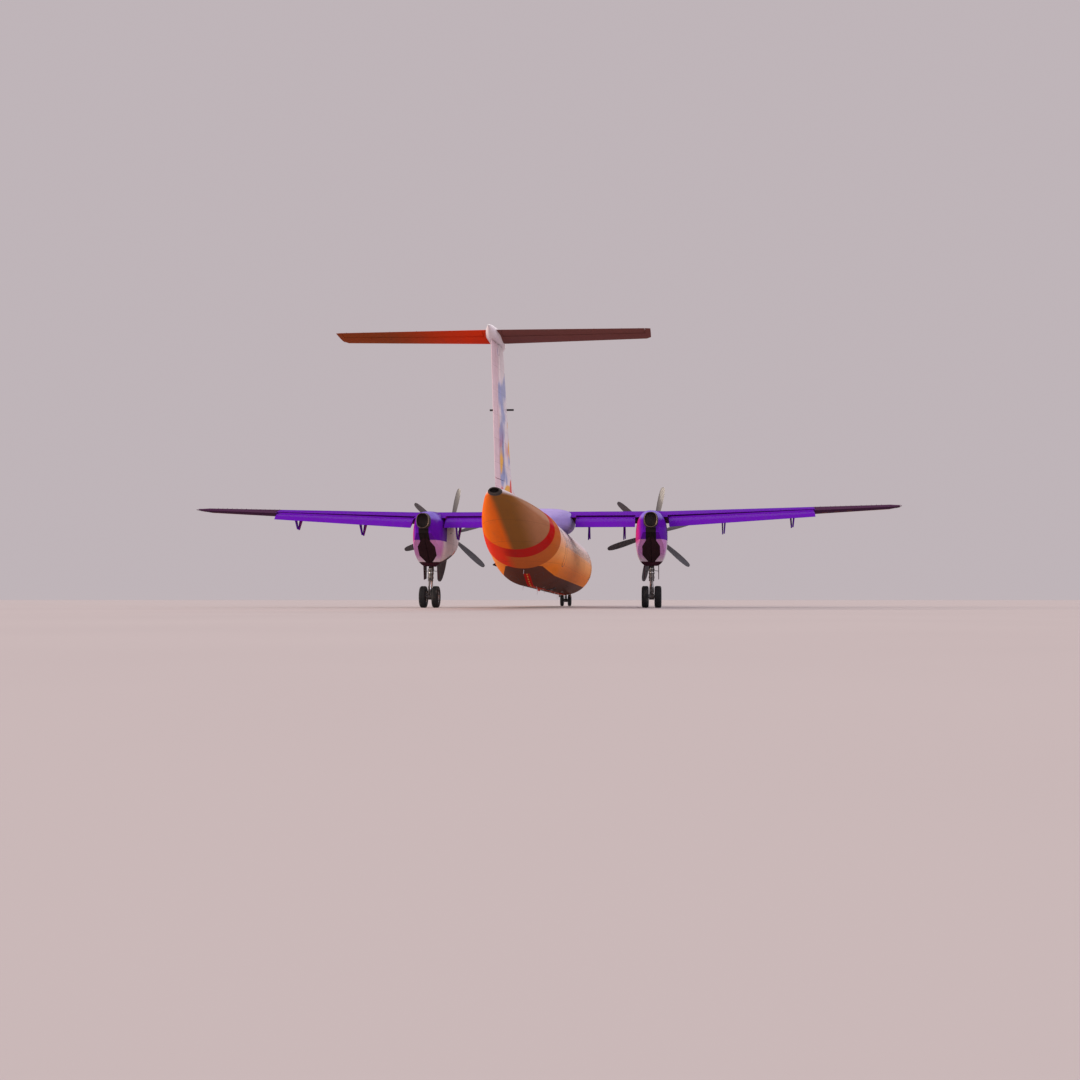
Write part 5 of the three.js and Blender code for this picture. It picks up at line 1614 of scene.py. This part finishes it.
# Materials of the CAD nodes that stay as they are
KEPT = {
    "body": ["airstair_door", "nose_door_left", "nose_door_right"],
    "fin": ["rudder_fore", "rudder_trailing"],
    "wing": ["aileron_left", "aileron_right"],
    "tailplane": ["elevator_left", "elevator_right"],
    "purple": ["flap_inner_left", "flap_inner_right", "flap_outer_left", "flap_outer_right"],
    "nacelle_left": ["front_door_inner_left", "front_door_outer_left"],
    "nacelle_right": ["front_door_inner_right", "front_door_outer_right"],
    # The aft gear doors face down and carry painted shade
    "dark": ["aft_door_inner_left", "aft_door_outer_left", "aft_door_inner_right", "aft_door_outer_right",
             "side_plate"],
    "engine": ["engine_left", "engine_right"],
    "gear": ["nose_leg", "nose_fork"],
}


def dress_nodes():
    """Gives each kept CAD node its material and shades its curved faces smoothly."""
    for key, names in KEPT.items():
        for name in names:
            obj = NODES[name]
            obj.data.materials.clear()
            obj.data.materials.append(MATERIALS[key])
            obj.data.polygons.foreach_set("use_smooth", [True] * len(obj.data.polygons))
            weld = obj.modifiers.new("weld", "WELD")
            weld.merge_threshold = 1e-5
            split = obj.modifiers.new("edges", "EDGE_SPLIT")
            split.split_angle = radians(32)


# Stage and camera

CAMERA_DISTANCE = 60.0
CAMERA_AZIMUTH = radians(275.1)
CAMERA_HEIGHT = 0.35
FRAME_WIDTH = 43.6  # of the view, at the wing
AIM = at(16.5, 0.0, 0.6)
FLOOR_SIZE = 400.0
SKY = (0.84, 0.74, 0.78, 1.0)
LIGHTS = [  # name, where it comes from, width in degrees, power, colour
    ("key", (-0.50, 0.80, 0.34), 25, 2.9, (1.0, 0.84, 0.70)),
    ("fill", (-0.70, -0.60, 0.45), 60, 0.9, (0.88, 0.86, 1.0)),
    ("front", (0.8, -0.2, 0.6), 60, 1.0, (1.0, 0.95, 0.93)),
]


def face(obj, direction):
    """Turns a light or a camera to look along a direction."""
    obj.rotation_mode = "QUATERNION"
    obj.rotation_quaternion = direction.to_track_quat("-Z", "Y")


def build_stage():
    mesh = bpy.data.meshes.new("floor")
    corners = [(FLOOR_SIZE * x, FLOOR_SIZE * y, 0) for x, y in ((-1, -1), (1, -1), (1, 1), (-1, 1))]
    mesh.from_pydata(corners, [], [(0, 1, 2, 3)])
    mesh.materials.append(mottled("floor_pale", 1.0, (0.50, 0.455, 0.46), (0.54, 0.495, 0.495), (0.15, 3.0),
                                  specular=0.0))
    placed("floor", mesh)

    world = bpy.data.worlds.new("studio")
    bpy.context.scene.world = world
    world.use_nodes = True
    background = world.node_tree.nodes["Background"]
    background.inputs["Color"].default_value = SKY
    background.inputs["Strength"].default_value = 0.62
    bpy.context.scene.view_settings.view_transform = "Standard"
    for name, place, width, power, colour in LIGHTS:
        data = bpy.data.lights.new(name, "SUN")
        data.angle = radians(width)
        data.energy = power
        data.color = colour
        face(placed(name, data), -Vector(place))


def build_camera():
    data = bpy.data.cameras.new("camera")
    camera = placed("camera", data)
    wing = at(15.3, 0.0, 1.5)
    away = Vector((sin(CAMERA_AZIMUTH), -cos(CAMERA_AZIMUTH), 0))
    camera.location = Vector((wing.x, wing.y, CAMERA_HEIGHT)) + away * CAMERA_DISTANCE
    data.lens_unit = "FOV"
    data.angle = 2 * atan(FRAME_WIDTH / 2 / CAMERA_DISTANCE)
    data.clip_end = 2000
    face(camera, AIM - camera.location)
    bpy.context.scene.camera = camera


build_fuselage()
build_wings()
build_fairing()
for name, side in SIDES:
    build_nacelle(name, side)
build_fin()
build_tailplane()
for name, side in SIDES:
    build_propeller(name, side)
build_windows()
build_windscreen()
build_doors()
build_antennas()
build_keel()
for name, side in SIDES:
    build_main_gear(name, side)
build_nose_gear()
build_wing_details()
build_tail_details()
for name, side in SIDES:
    build_nacelle_details(name, side)
build_airstair_details()
dress_nodes()
build_stage()
build_camera()
